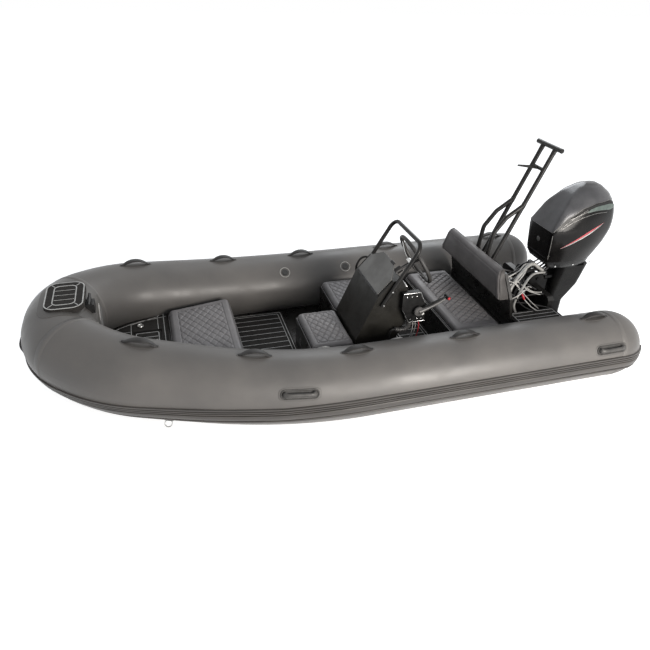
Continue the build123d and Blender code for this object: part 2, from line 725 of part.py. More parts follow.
def backrest_pad():
    back_low = BACKREST_X + BACKREST_PANEL_T + SEAT_GAP
    back_high = BACKREST_TOP_X + BACKREST_PANEL_T + SEAT_GAP
    share = (BACKREST_PAD_LOW - MODULE_TOP) / (BACKREST_TOP_Z - MODULE_TOP)
    at_low = back_low + (back_high - back_low) * share
    outline = ((BACKREST_FRONT_X, BACKREST_PAD_LOW), (BACKREST_FRONT_X, BACKREST_PAD_TOP - 18),
               (BACKREST_FRONT_X - 20, BACKREST_PAD_TOP), (back_high, BACKREST_PAD_TOP),
               (back_high, BACKREST_TOP_Z), (at_low, BACKREST_PAD_LOW))
    return side_prism(outline, -BACKREST_HALF[0], BACKREST_HALF[0]) & backrest_ends(BACKREST_PAD_TOP)


def tow_pole():
    """Twin-leg tow pole of round tube with bent braces, cross bars and a rope horn."""
    top = Vector(POLE_TOP[0], 0, POLE_TOP[1])
    foot = Vector(POLE_FOOT[0], 0, POLE_FOOT[1])
    leave = foot + (top - foot) * POLE_BRACE_LEAVE
    hook = foot + (top - foot) * POLE_HOOK
    pole = None
    for y in (-POLE_HALF, POLE_HALF):
        leg = rod((foot.X, y, foot.Z), (top.X, y, top.Z), POLE_TUBE_D / 2)
        brace = bent_tube([(leave.X, y, leave.Z)] + [(x, y, z) for x, z in POLE_BRACE], POLE_BRACE_BEND, POLE_TUBE_D)
        pole = leg + brace if pole is None else pole + leg + brace
    pole += rod((top.X, -POLE_BAR_HALF, top.Z), (top.X, POLE_BAR_HALF, top.Z), POLE_TUBE_D / 2)
    pole += rod((hook.X, -POLE_HALF, hook.Z), (hook.X, POLE_HALF, hook.Z), POLE_TUBE_D * 0.4)
    horn_tip = hook + Vector(POLE_HORN, 0, 24)
    pole += Plane(origin=hook, z_dir=horn_tip - hook) * Pos(0, 0, POLE_HORN / 2) * Cone(13, 6, POLE_HORN)
    return pole + pole_plate()


def pole_plate():
    """Mounting plate on the aft face of the bulkhead."""
    lean = (BACKREST_TOP_X - BACKREST_X) / (BACKREST_TOP_Z - MODULE_TOP)
    z0, z1 = POLE_PLATE_Z
    x0 = BACKREST_X + (z0 - MODULE_TOP) * lean - SEAT_GAP
    x1 = BACKREST_X + (z1 - MODULE_TOP) * lean - SEAT_GAP
    return side_prism(((x0, z0), (x1, z1), (x1 - POLE_PLATE_T, z1), (x0 - POLE_PLATE_T, z0)),
                      -POLE_HALF - 30, POLE_HALF + 30)


# ================================================================ bow step and cleat
def bow_step(envelope):
    """Raised moulded step on top of the nose, shaped to the tube below it."""
    x0, x1, half = BOW_STEP
    pad = block(x0, x1, -half, half, BOW_STEP_Z - BOW_STEP_SKIRT, BOW_STEP_Z)
    pad = fillet(pad.edges().filter_by(Axis.Z), 70)
    pad = chamfer(pad.edges().group_by(Axis.Z)[-1], 10)
    return pad - envelope


def bow_cleat(envelope):
    x, z = BOW_CLEAT
    foot = block(x - 28, x + 28, -42, 42, z - 60, z)
    return foot + rod((x, -75, z + 18), (x, 75, z + 18), 9) + block(x - 12, x + 12, -30, 30, z, z + 20) - envelope


# ================================================================ outboard engine
def clamp_bracket():
    """Pair of transom clamps joined by the tilt tube."""
    aft, fore = TRANSOM_X - SEAT_GAP, TRANSOM_X + TRANSOM_T + SEAT_GAP
    top = TRANSOM_TOP + SEAT_GAP
    outline = ((aft, 130), (aft - 22, 130), (aft - 40, 300), (aft - 40, TILT_Z), (aft - 18, TILT_Z + 40),
               (fore + 18, TILT_Z + 40), (fore + 34, TILT_Z + 10), (fore + 34, 330), (fore, 330), (fore, top), (aft, top))
    clamps = rod((TILT_X, -CLAMP_Y[1] - 8, TILT_Z), (TILT_X, CLAMP_Y[1] + 8, TILT_Z), TILT_PIN_R)
    for y0, y1 in ((CLAMP_Y[0], CLAMP_Y[1]), (-CLAMP_Y[1], -CLAMP_Y[0])):
        clamps += side_prism(outline, y0, y1)
    return clamps


def swivel_bracket():
    """Bracket that tilts on the tilt tube and carries the steering pin."""
    knuckle = rod((TILT_X, -KNUCKLE_HALF, TILT_Z), (TILT_X, KNUCKLE_HALF, TILT_Z), KNUCKLE_R)
    arm = side_prism(((TILT_X + 8, TILT_Z + KNUCKLE_R - 2), (TILT_X - 24, TILT_Z + 24),
                      (TILT_X - 62, SWIVEL_TOP), (STEER_X, SWIVEL_TOP), (STEER_X, 40), (STEER_X + 30, 40),
                      (TRANSOM_X - 18, 300), (TRANSOM_X - 18, TILT_Z - 20)), -SWIVEL_ARM_HALF, SWIVEL_ARM_HALF)
    tube = rod((STEER_X, 0, SWIVEL_LOW), (STEER_X, 0, SWIVEL_TOP), SWIVEL_R)
    solid = knuckle + arm + tube
    solid -= rod((TILT_X, -KNUCKLE_HALF - 1, TILT_Z), (TILT_X, KNUCKLE_HALF + 1, TILT_Z), TILT_PIN_R + RUN_CLEARANCE)
    return solid - rod((STEER_X, 0, SWIVEL_LOW - 1), (STEER_X, 0, SWIVEL_TOP + 1), STEER_PIN_R + RUN_CLEARANCE)


def steering_yoke():
    """Steering pin with the upper and lower yokes that hold the drive leg."""
    low, high = SWIVEL_LOW - YOKE_GAP, SWIVEL_TOP + YOKE_GAP
    pin = rod((STEER_X, 0, low - YOKE_T), (STEER_X, 0, high + YOKE_T), STEER_PIN_R)
    upper = block(LEG_FRONT_X - YOKE_LAP, STEER_X + 24, -45, 45, high, high + YOKE_T)
    lower = block(LEG_FRONT_X - YOKE_LAP, STEER_X + 24, -38, 38, low - YOKE_T, low)
    return pin + upper + lower


def leg_sections(table):
    """Loft of rounded rectangles: z, front x, aft x, half width."""
    faces = []
    for z, front, aft, half in table:
        shape = RectangleRounded(front - aft, half * 2, half * 0.6)
        faces.append(Pos((front + aft) / 2, 0, z) * shape)
    return loft(faces, ruled=True)


def drive_leg():
    """Driveshaft housing between the lower cowl and the gearcase."""
    return leg_sections(LEG_SECTIONS) - steering_yoke_clear()


def steering_yoke_clear():
    """Slots in the front of the drive leg for the two yokes."""
    low, high = SWIVEL_LOW - YOKE_GAP, SWIVEL_TOP + YOKE_GAP
    g = SEAT_GAP
    upper = block(LEG_FRONT_X - YOKE_LAP - g, STEER_X, -45 - g, 45 + g, high - g, high + YOKE_T + g)
    lower = block(LEG_FRONT_X - YOKE_LAP - g, STEER_X, -38 - g, 38 + g, low - YOKE_T - g, low + g)
    return upper + lower


def lower_cowl():
    return leg_sections(LOWER_COWL_SECTIONS)


def cowl_section(z, front, aft, front_half, half):
    """Plan of the cowl at one height: flat front, bowed sides and a round stern."""
    length = front - aft
    widest, stern = front - length * COWL_WIDEST, front - length * COWL_STERN
    turn = half * COWL_STERN_WIDTH
    return Pos(0, 0, z) * make_face([
        Line((front, -front_half), (front, front_half)),
        ThreePointArc((front, front_half), (widest, half), (stern, turn)),
        ThreePointArc((stern, turn), (aft, 0), (stern, -turn)),
        ThreePointArc((stern, -turn), (widest, -half), (front, -front_half)),
    ])


def cowl_form(inset):
    """Engine cowl's outer form, drawn in by inset but for its open foot."""
    faces = []
    for number, (z, front, aft, front_half, half) in enumerate(COWL_SECTIONS):
        lift = inset if number else 0
        faces.append(cowl_section(z - lift, front - inset, aft + inset, front_half - inset, half - inset))
    return loft(faces, ruled=True)


def cowl():
    """Hollow engine cover, open below where it meets the lower cowl."""
    return cowl_form(0) - cowl_form(COWL_WALL)


def powerhead():
    x0, x1, half, height = POWERHEAD
    foot = COWL_SECTIONS[0][0]
    return block(x1, x0, -half, half, foot, foot + height)


def gearcase():
    """Strut, anti-ventilation plate, torpedo, skeg and propeller shaft."""
    strut = leg_sections(STRUT_SECTIONS)
    r = TORPEDO_R
    nose, tail = TORPEDO_X
    outline = [
        Line((tail, 0), (nose, 0)),
        ThreePointArc((nose, 0), (nose - 45, r * 0.72), (nose - 130, r)),
        Line((nose - 130, r), (tail + 60, r)),
        Line((tail + 60, r), (tail, r * 0.84)),
        Line((tail, r * 0.84), (tail, 0)),
    ]
    torpedo = Pos(0, 0, PROP_SHAFT_Z) * revolve(Plane.XZ * make_face(outline), axis=Axis.X)
    plate = plan_prism(((-1800, -45), (-1900, -88), (-2150, -92), (-2225, -70), (-2225, 70), (-2150, 92),
                        (-1900, 88), (-1800, 45)), PLATE_Z - 7, PLATE_Z)
    skeg = side_prism(((-1800, PROP_SHAFT_Z - 20), (-1960, PROP_SHAFT_Z - 20), (-2010, SKEG_Z), (-1945, SKEG_Z)), -5, 5)
    shaft = rod((tail + 10, 0, PROP_SHAFT_Z), (PROP_X[1] - 12, 0, PROP_SHAFT_Z), PROP_SHAFT_R)
    return strut + torpedo + plate + skeg + shaft


def propeller():
    """Three-bladed propeller with a through bore."""
    front, aft = PROP_X
    solid = rod((aft, 0, PROP_SHAFT_Z), (front, 0, PROP_SHAFT_Z), PROP_HUB_R)
    across = Plane(origin=((front + aft) / 2, 0, PROP_SHAFT_Z), x_dir=(0, 1, 0), z_dir=(1, 0, 0))
    flat = Pos(0, 0, -BLADE_T / 2) * extrude(Ellipse(*BLADE_HALF), amount=BLADE_T)
    blade = Pos(0, PROP_R - BLADE_HALF[1], 0) * Rot(0, 90 - BLADE_PITCH, 0) * flat
    for number in range(BLADES):
        solid += across * Rot(0, 0, number * 360 / BLADES) * blade
    bore = rod((aft - 1, 0, PROP_SHAFT_Z), (front + 1, 0, PROP_SHAFT_Z), PROP_SHAFT_R + RUN_CLEARANCE)
    return solid - bore


# ================================================================ nodes
def build_nodes():
    envelope = collar_envelope(SEAT_GAP)
    bow_plan = trapezoid_plan(BOW_LOCKER)
    nodes = {
        "tube_port": side_tube(), "tube_starboard": Pos(0, -2 * TUBE_Y, 0) * side_tube(),
        "shoulder_port": shoulder_tube(), "shoulder_starboard": mirrored(shoulder_tube()),
        "tube_nose": nose_tube(), "rub_strake": rub_strake(envelope),
        "grab_straps": grab_straps(envelope), "lifting_grips": lifting_grips(envelope),
        "valves": valves(envelope), "nose_grip": nose_grip(envelope), "tow_rings": tow_rings(envelope),
        "bow_step": bow_step(envelope), "bow_cleat": bow_cleat(envelope),
        "hull": hull(envelope), "deck": deck(envelope), "floor_pads": floor_pads(envelope),
        "bow_platform": bow_platform(envelope), "anchor_hatch": anchor_hatch(),
        "transom": transom(), "stern_side_decks": stern_side_decks(envelope),
        "bow_locker": bow_locker(), "bow_locker_lid": bow_lid(), "bow_cushion": cushion(bow_plan),
        "console": console(), "windscreen": windscreen(), "console_rail": console_rail(),
        "helm_shaft": helm_shaft(), "steering_wheel": steering_wheel(),
        "instrument_panel": instrument_panel(), "throttle_control": throttle_control(),
        "backrest_panel": backrest_panel(), "backrest_pad": backrest_pad(), "tow_pole": tow_pole(),
        "clamp_bracket": clamp_bracket(), "swivel_bracket": swivel_bracket(),
        "steering_yoke": steering_yoke(), "drive_leg": drive_leg(), "lower_cowl": lower_cowl(),
        "cowl": cowl(), "powerhead": powerhead(), "gearcase": gearcase(), "propeller": propeller(),
    }
    nodes |= seat("console_seat", CONSOLE_SEAT, CONSOLE_SEAT[:2], CONSOLE_SEAT[1])
    nodes |= seat("side_locker", SIDE_LOCKER, SIDE_LOCKER[:2], SIDE_LOCKER[1])
    nodes |= seat("stern_seat", STERN_SEAT, (STERN_LID_X, STERN_SEAT[1]), STERN_LID_X)
    return nodes


if __name__ == "__main__":
    os.makedirs("parts", exist_ok=True)
    for name, shape in build_nodes().items():
        solids = shape if isinstance(shape, list) else [shape]
        compound = Compound(children=[solid for piece in solids for solid in piece.solids()])
        export_step(compound, f"parts/{name}.step")
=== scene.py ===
"""Looks of the inflatable boat with its helm console, seats, tow pole and outboard engine."""
import math

import bmesh
import bpy
from mathutils import Matrix, Vector
from mathutils.bvhtree import BVHTree


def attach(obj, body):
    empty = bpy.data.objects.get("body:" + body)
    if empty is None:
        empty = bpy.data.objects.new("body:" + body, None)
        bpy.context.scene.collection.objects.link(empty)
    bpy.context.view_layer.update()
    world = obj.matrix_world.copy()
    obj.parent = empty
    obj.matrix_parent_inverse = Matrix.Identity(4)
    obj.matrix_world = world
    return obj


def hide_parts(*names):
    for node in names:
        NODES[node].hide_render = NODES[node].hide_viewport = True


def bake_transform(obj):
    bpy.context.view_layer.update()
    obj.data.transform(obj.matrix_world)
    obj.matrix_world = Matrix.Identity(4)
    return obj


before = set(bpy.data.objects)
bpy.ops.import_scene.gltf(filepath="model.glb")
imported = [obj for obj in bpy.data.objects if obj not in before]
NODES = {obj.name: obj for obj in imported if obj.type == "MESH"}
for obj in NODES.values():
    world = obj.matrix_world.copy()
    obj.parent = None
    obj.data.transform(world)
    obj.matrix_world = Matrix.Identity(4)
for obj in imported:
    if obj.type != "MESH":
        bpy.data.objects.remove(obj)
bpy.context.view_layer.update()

# ------------------------------------------------------------------ camera and studio
# The boat is seen from ahead of its port side and from above, in a square frame.
# It lies afloat, so the pale studio floor stands at the waterline.
CAMERA_AT = (1.216, 3.509, 2.558)
CAMERA_YAW, CAMERA_PITCH, CAMERA_ROLL = -1.881, 0.562, 0.042
CAMERA_LENS, CAMERA_SENSOR = 32.43, 36


def frame_of(place, x_axis, y_axis, z_axis):
    """Frame at a place with the given axes."""
    return Matrix.Translation(place) @ Matrix((x_axis, y_axis, z_axis)).transposed().to_4x4()


camera_data = bpy.data.cameras.new("camera")
camera_data.lens = CAMERA_LENS
camera_data.sensor_width = CAMERA_SENSOR
camera = bpy.data.objects.new("camera", camera_data)
bpy.context.collection.objects.link(camera)
UP = Vector((0, 0, 1))
look = Vector((math.cos(CAMERA_PITCH) * math.cos(CAMERA_YAW), math.cos(CAMERA_PITCH) * math.sin(CAMERA_YAW),
               -math.sin(CAMERA_PITCH)))
level_right = look.cross(UP).normalized()
level_up = level_right.cross(look)
right = level_right * math.cos(CAMERA_ROLL) + level_up * math.sin(CAMERA_ROLL)
up = level_up * math.cos(CAMERA_ROLL) - level_right * math.sin(CAMERA_ROLL)
camera.matrix_world = frame_of(CAMERA_AT, right, up, -look)
bpy.context.scene.camera = camera


def backdrop_rays(tree):
    """1 for rays that should see the white backdrop: from the camera, from gloss and through glass."""
    paths = tree.nodes.new("ShaderNodeLightPath")
    seen = paths.outputs["Is Camera Ray"]
    for ray in ("Is Glossy Ray", "Is Transmission Ray"):
        either = tree.nodes.new("ShaderNodeMath")
        either.operation = "MAXIMUM"
        tree.links.new(seen, either.inputs[0])
        tree.links.new(paths.outputs[ray], either.inputs[1])
        seen = either.outputs["Value"]
    return seen


FLOOR_SIZE = 60
FLOOR_GLOW = 0.7
bpy.ops.mesh.primitive_plane_add(size=FLOOR_SIZE, location=(0, 0, 0))
floor = bpy.context.object
floor.name = "studio_floor"
floor_paint = bpy.data.materials.new("floor_paint")
floor_paint.use_nodes = True
floor_tree = floor_paint.node_tree
shader = floor_tree.nodes["Principled BSDF"]
for socket, value in (("Base Color", (0.9, 0.9, 0.9, 1)), ("Roughness", 0.9), ("Specular IOR Level", 0.1),
                      ("Emission Color", (1, 1, 1, 1))):
    shader.inputs[socket].default_value = value
glow = floor_tree.nodes.new("ShaderNodeMath")
glow.operation = "MULTIPLY"
glow.inputs[1].default_value = FLOOR_GLOW
floor_tree.links.new(backdrop_rays(floor_tree), glow.inputs[0])
floor_tree.links.new(glow.outputs["Value"], shader.inputs["Emission Strength"])
floor.data.materials.append(floor_paint)

# the sky lights the boat dimly and a little blue, and is white where it is seen
WORLD_LEVEL = 0.42
WORLD_TINT = (0.9, 0.95, 1.0)
world = bpy.data.worlds.new("studio")
bpy.context.scene.world = world
world.use_nodes = True
world_tree = world.node_tree
background = world_tree.nodes["Background"]
level = world_tree.nodes.new("ShaderNodeMapRange")
level.inputs["To Min"].default_value = WORLD_LEVEL
level.inputs["To Max"].default_value = 1.0
world_tree.links.new(backdrop_rays(world_tree), level.inputs["Value"])
world_tree.links.new(level.outputs["Result"], background.inputs["Strength"])
tint = world_tree.nodes.new("ShaderNodeMix")
tint.data_type = "RGBA"
tint.inputs["A"].default_value = (*WORLD_TINT, 1)
tint.inputs["B"].default_value = (1, 1, 1, 1)
world_tree.links.new(backdrop_rays(world_tree), tint.inputs["Factor"])
world_tree.links.new(tint.outputs["Result"], background.inputs["Color"])

# lamp: place, aim, size, power, colour
LAMPS = {
    "key": ((-2.2, 6.0, 1.9), (0, 0, 0.3), 2.6, 435, (1.0, 0.95, 0.89)),
    "back": ((-3.0, -4.5, 4.0), (0, 0, 0.4), 3.0, 110, (0.93, 0.97, 1.0)),
}
for name, (place, aim, size, power, colour) in LAMPS.items():
    lamp_data = bpy.data.lights.new(name, "AREA")
    lamp_data.color = colour
    lamp_data.size = size
    lamp_data.energy = power
    lamp = bpy.data.objects.new(name, lamp_data)
    lamp.location = place
    lamp.rotation_euler = (Vector(aim) - Vector(place)).to_track_quat("-Z", "Y").to_euler()
    bpy.context.collection.objects.link(lamp)

bpy.context.scene.view_settings.view_transform = "Standard"

# ------------------------------------------------------------------ inflatable collar
# Five air chambers of coated fabric, glued from panels: charcoal, satin and faintly woven.
# Over the seams at the stern ends and beside the nose a narrow tape of the same fabric is glued.


def new_material(name, colour, roughness, mottle=None, grain=None, scuffs=None, **sockets):
    """Material of one colour and roughness; other sockets of its shader are named with spaces as _.

    mottle, grain and scuffs hold what add_mottle, add_grain and add_scuffs take."""
    made = bpy.data.materials.new(name)
    made.use_nodes = True
    principled = made.node_tree.nodes["Principled BSDF"]
    principled.inputs["Base Color"].default_value = (*colour, 1)
    principled.inputs["Roughness"].default_value = roughness
    for socket, value in sockets.items():
        principled.inputs[socket.replace("_", " ")].default_value = value
    for add, choices in ((add_mottle, mottle), (add_grain, grain), (add_scuffs, scuffs)):
        if choices:
            add(made, *choices)
    return made


def wire(made, kind, **values):
    """New node in a material, with named inputs set, or linked where the value is another node's output."""
    node = made.node_tree.nodes.new(kind)
    for key, value in values.items():
        socket = key.replace("_", " ")
        if socket not in node.inputs:
            setattr(node, key, value)
        elif isinstance(value, bpy.types.NodeSocket):
            made.node_tree.links.new(value, node.inputs[socket])
        else:
            node.inputs[socket].default_value = value
    return node


def join_to_shader(made, socket, output):
    made.node_tree.links.new(output, made.node_tree.nodes["Principled BSDF"].inputs[socket])


def surface_place(made, stretch=(1, 1, 1)):
    """Position on the boat, stretched for a grain that runs one way."""
    place = wire(made, "ShaderNodeTexCoord")
    return wire(made, "ShaderNodeMapping", Vector=place.outputs["Object"], Scale=stretch).outputs["Vector"]


def noise_value(made, per_metre, detail, stretch=(1, 1, 1)):
    """Even noise over the surface, in lumps of a size."""
    noise = wire(made, "ShaderNodeTexNoise", Vector=surface_place(made, stretch), Scale=per_metre,
                 Detail=detail)
    return noise.outputs["Fac"]


def noise_range(made, per_metre, detail, stretch=(1, 1, 1), low=0.0, high=1.0):
    """The middle of the noise's range, spread from low to high."""
    spread = wire(made, "ShaderNodeMapRange", Value=noise_value(made, per_metre, detail, stretch),
                  From_Min=0.35, From_Max=0.65, To_Min=low, To_Max=high)
    return spread.outputs["Result"]


def add_grain(made, per_metre, millimetres, stretch=(1, 1, 1)):
    """Fine bump of the surface."""
    bump = wire(made, "ShaderNodeBump", Height=noise_value(made, per_metre, 2.0, stretch),
                Distance=millimetres / 1000)
    join_to_shader(made, "Normal", bump.outputs["Normal"])


def add_mottle(made, colour, other, per_metre, stretch=(1, 1, 1)):
    """Slow change between two colours over the surface."""
    share = noise_range(made, per_metre, 4.0, stretch)
    blend = wire(made, "ShaderNodeMix", data_type="RGBA")
    blend.inputs["A"].default_value = (*colour, 1)
    blend.inputs["B"].default_value = (*other, 1)
    made.node_tree.links.new(share, blend.inputs["Factor"])
    join_to_shader(made, "Base Color", blend.outputs["Result"])


def add_scuffs(made, per_metre, low, high):
    """Roughness that changes in soft patches, from handling and wiping."""
    join_to_shader(made, "Roughness", noise_range(made, per_metre, 6.0, low=low, high=high))


def paint(material, *names):
    """Gives CAD nodes a material."""
    for name in names:
        NODES[name].data.materials.clear()
        NODES[name].data.materials.append(material)


def add_piece(name, form, material, body, sharp=35):
    """Piece of the boat from a form or a list of forms, smooth but for edges over the sharp angle.

    body is None for a piece that runs between two bodies; it is attached to neither."""
    points, faces = together(form) if isinstance(form, list) else form
    mesh = bpy.data.meshes.new(name)
    mesh.from_pydata([tuple(point) for point in points], [], faces)
    mesh.validate()
    shape = bmesh.new()
    shape.from_mesh(mesh)
    bmesh.ops.recalc_face_normals(shape, faces=shape.faces)
    shape.to_mesh(mesh)
    shape.free()
    mesh.materials.append(material)
    mesh.shade_smooth()
    mesh.set_sharp_from_angle(angle=math.radians(sharp))
    piece = bpy.data.objects.new(name, mesh)
    bpy.context.collection.objects.link(piece)
    if body:
        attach(piece, body)
    return piece


def together(forms):
    """One form of several."""
    points, faces = [], []
    for more_points, more_faces in forms:
        faces += [[corner + len(points) for corner in face] for face in more_faces]
        points += more_points
    return points, faces


def sheet_of(rows, loop=False, closed_ends=False, closed_last=False):
    """Faces between rows of points; loop joins each row's ends, and the first and last row can be capped."""
    across = len(rows[0])
    faces = []
    for row in range(len(rows) - 1):
        for column in range(across if loop else across - 1):
            beside = (column + 1) % across
            faces.append([row * across + column, row * across + beside,
                          (row + 1) * across + beside, (row + 1) * across + column])
    if closed_ends:
        faces.append(list(range(across))[::-1])
    if closed_ends or closed_last:
        faces.append([(len(rows) - 1) * across + column for column in range(across)])
    return [point for row in rows for point in row], faces


def solid_of(rows):
    """Closed form of rings of points, one beside the other."""
    return sheet_of(rows, loop=True, closed_ends=True)


def circle(count, radius=1.0, shift=0.0):
    """Points (x, y) evenly round a circle, the first one turned by shift steps."""
    turns = [math.tau * (step + shift) / count for step in range(count)]
    return [(radius * math.cos(turn), radius * math.sin(turn)) for turn in turns]


def bend(before, corner, after, steps, radius=None, reach=None):
    """Arc that rounds a corner, from its radius or from how far before the corner it starts."""
    came, goes = (corner - before).normalized(), (after - corner).normalized()
    turn = came.angle(goes)
    if radius is None:
        radius = reach / math.tan(turn / 2)
    else:
        reach = radius * math.tan(turn / 2)
    inward = (goes - came * goes.dot(came)).normalized()
    centre = corner - came * reach + inward * radius
    angles = [turn * step / steps for step in range(steps + 1)]
    return [centre - inward * radius * math.cos(angle) + came * radius * math.sin(angle) for angle in angles]


# centreline of the port tube: corners in plan, how far before each corner its bend starts, and its height
TUBE_R = 0.233
COLLAR_PLAN = ((-1.817, 0.712), (0.6, 0.712), (1.55, 0.49), (1.867, 0.22), (1.867, 0))
BEND_REACH = (0.56, 0.19, 0.19)
BEND_STEPS = 24
COLLAR_Z, SHEER_X, SHEER_RISE = 0.25, 0.6, 0.21
STRAIGHT_LEG = 0.2


def collar_height(x):
    return COLLAR_Z + max(0, x - SHEER_X) * SHEER_RISE / (COLLAR_PLAN[-1][0] - SHEER_X)


corners = [Vector((x, y, collar_height(x))) for x, y in COLLAR_PLAN]
collar_line = [corners[0]]
for before, corner, after, reach in zip(corners, corners[1:], corners[2:], BEND_REACH):
    collar_line += bend(before, corner, after, BEND_STEPS, reach=reach)
collar_line.append(corners[-1])
collar_run = [0.0]
for start, end in zip(collar_line, collar_line[1:]):
    collar_run.append(collar_run[-1] + (end - start).length)


def collar_station(run):
    """Point and heading of the port centreline at a length from the stern cone."""
    leg = max(index for index in range(len(collar_run) - 1) if collar_run[index] <= max(run, 0))
    while collar_run[leg + 1] - collar_run[leg] < 1e-6:
        leg -= 1
    heads = []
    for index in (leg, leg + 1):
        before, after = collar_line[max(index - 1, 0)], collar_line[min(index + 1, len(collar_line) - 1)]
        heads.append((after - before).normalized())
    share = (run - collar_run[leg]) / (collar_run[leg + 1] - collar_run[leg])
    heading = heads[0].lerp(heads[1], share)
    if collar_run[leg + 1] - collar_run[leg] > STRAIGHT_LEG:
        heading = (collar_line[leg + 1] - collar_line[leg]).normalized()
    return collar_line[leg].lerp(collar_line[leg + 1], share), heading.normalized()


def tube_axes(run):
    """Centre of the port tube at a run, and which way is outboard and up there."""
    centre, heading = collar_station(run)
    above = (UP - heading * heading.z).normalized()
    return centre, above.cross(heading), above


def mirrored(point, side=-1):
    return Vector((point.x, side * point.y, point.z))


def on_skin(run, around, rise=0.0, side=1):
    """Point over the collar's skin: around is degrees up from outboard, side is 1 for port."""
    centre, outboard, above = tube_axes(run)
    angle = math.radians(around)
    return mirrored(centre + (outboard * math.cos(angle) + above * math.sin(angle)) * (TUBE_R + rise), side)


def skin_place(run, around, side):
    """Turns (along, across, rise) round a point of the skin into a point of the boat."""
    def place(along, across, rise):
        return on_skin(run + along, around + math.degrees(across / TUBE_R), rise, side)
    return place



collar_fabric = new_material("collar_fabric", (0.12, 0.113, 0.107), 0.5, Specular_IOR_Level=0.4,
                             Sheen_Weight=0.1, Sheen_Roughness=0.4,
                             mottle=((0.105, 0.1, 0.096), (0.135, 0.127, 0.12), 2.5), grain=(900, 0.12),
                             scuffs=(5, 0.34, 0.5))
paint(collar_fabric, "tube_port", "tube_starboard", "shoulder_port", "shoulder_starboard", "tube_nose")

SEAM_RUNS = (0.02, 3.72)
SEAM_HALF = 0.016
seam_tape = new_material("seam_tape", (0.125, 0.118, 0.112), 0.45, grain=(900, 0.12))
# along the tube and out of it, over the tape's width
TAPE_PROFILE = ((-SEAM_HALF - 0.002, -0.001), (-SEAM_HALF, 0.0014), (SEAM_HALF, 0.0014),
                (SEAM_HALF + 0.002, -0.001))
tapes = []
for side in (1, -1):
    for run in SEAM_RUNS:
        tapes.append(sheet_of([[on_skin(run + along, around, rise, side) for along, rise in TAPE_PROFILE]
                               for around in range(-90, 271, 5)]))
add_piece("collar_seam_tapes", tapes, seam_tape, "boat", sharp=60)

# ------------------------------------------------------------------ rubbing strake
# A band of extruded black rubber glued round the outside of the collar.
# It is ribbed along its length: three slim ribs above, a broad fender rib, and a plain lower edge.
STRAKE_Z, STRAKE_CLIMB = 0.23, 0.095 / 1.55
# height off the strake's line and thickness, from its top edge down
STRAKE_PROFILE = (
    (0.060, -0.002), (0.060, 0.009), (0.058, 0.012), (0.049, 0.012), (0.047, 0.005),
    (0.044, 0.005), (0.042, 0.012), (0.034, 0.012), (0.032, 0.005), (0.029, 0.005),
    (0.027, 0.012), (0.020, 0.012), (0.018, 0.004), (0.012, 0.004), (0.010, 0.011),
    (0.006, 0.013), (-0.026, 0.013), (-0.031, 0.011), (-0.033, 0.004), (-0.040, 0.004),
    (-0.042, 0.010), (-0.045, 0.012), (-0.055, 0.012), (-0.059, 0.009), (-0.060, -0.002),
)


def strake_row(run, side):
    """Profile of the strake at a run; a run below 0 is the angle round the stern cone, in degrees."""
    row = []
    for height, thickness in STRAKE_PROFILE:
        line, reach = STRAKE_Z, TUBE_R + thickness
        if run < 0:
            turn = math.radians(-run)
            level = math.sqrt(reach ** 2 - (line + height - collar_height(0)) ** 2)
            row.append(Vector((COLLAR_PLAN[0][0] - level * math.sin(turn),
                               side * (COLLAR_PLAN[0][1] + level * math.cos(turn)), line + height)))
            continue
        centre, outboard, above = tube_axes(run)
        point = centre
        for _ in range(4):
            line = STRAKE_Z + max(0, point.x - SHEER_X) * STRAKE_CLIMB
            angle = math.asin(max(-1, min(1, (line + height - centre.z) / (reach * above.z))))
            point = centre + (outboard * math.cos(angle) + above * math.sin(angle)) * reach
        row.append(mirrored(point, side))
    return row


LAST_RUN = collar_run[-1]
STRAKE_STEPS = 150
strake_runs = [-54, -40, -26, -12] + [LAST_RUN * step / STRAKE_STEPS for step in range(STRAKE_STEPS)]
rows = [strake_row(run, 1) for run in strake_runs] + [strake_row(LAST_RUN - 0.0005, 1)]
rows += [strake_row(run, -1) for run in reversed(strake_runs)]
strake_rubber = new_material("strake_rubber", (0.046, 0.0425, 0.039), 0.38,
                             mottle=((0.048, 0.044, 0.041), (0.068, 0.062, 0.057), 14, (0.3, 1, 3)),
                             grain=(1200, 0.08))
strake = add_piece("rubbing_strake", sheet_of(rows, closed_ends=True), strake_rubber, "boat",
                   sharp=50)
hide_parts("rub_strake")

# ------------------------------------------------------------------ grab straps along the collar
# Moulded rubber handles along the top of the tubes, arched over a finger gap.
# Their pointed feet are vulcanised to an oval patch, which is glued to the fabric.
STRAP_RUNS = (0.165, 1.17, 1.92, 2.58, 3.26)
STRAP_HALF = 0.105
STRAP_RISE = 0.032
STRAP_T = 0.006
# half length, half width and thickness of a patch
STRAP_PATCH = (0.118, 0.034, 0.0015)


def grab_strap(run, side):
    """Strap over the top of the tube, from rings of its upper and lower face."""
    place = skin_place(run, 90, side)
    top, under = [], []
    for step in range(-12, 13):
        share = step / 12
        half = 0.008 + 0.016 * math.cos(share * math.pi / 2) ** 0.8
        arch = max(0.0, 1 - (abs(share) / 0.86) ** 2.2)
        for row, lift in ((top, STRAP_T), (under, 0.0)):
            across = []
            for wide in (-1, -0.8, -0.4, 0, 0.4, 0.8, 1):
                crown = 0.0022 * (1 - wide * wide) if row is top else 0
                edge = 0.55 if row is top and abs(wide) == 1 else 1
                across.append(place(share * STRAP_HALF, wide * half,
                                    STRAP_RISE * arch + lift * edge + crown - 0.0005))
            row.append(across)
    return solid_of([upper + lower[::-1] for upper, lower in zip(top, under)])


ROUND_STEPS = 40


def squared(value, power):
    """Cosine or sine of a rounded box: 2 gives a circle, more gives straighter sides."""
    return math.copysign(abs(value) ** (2 / power), value)


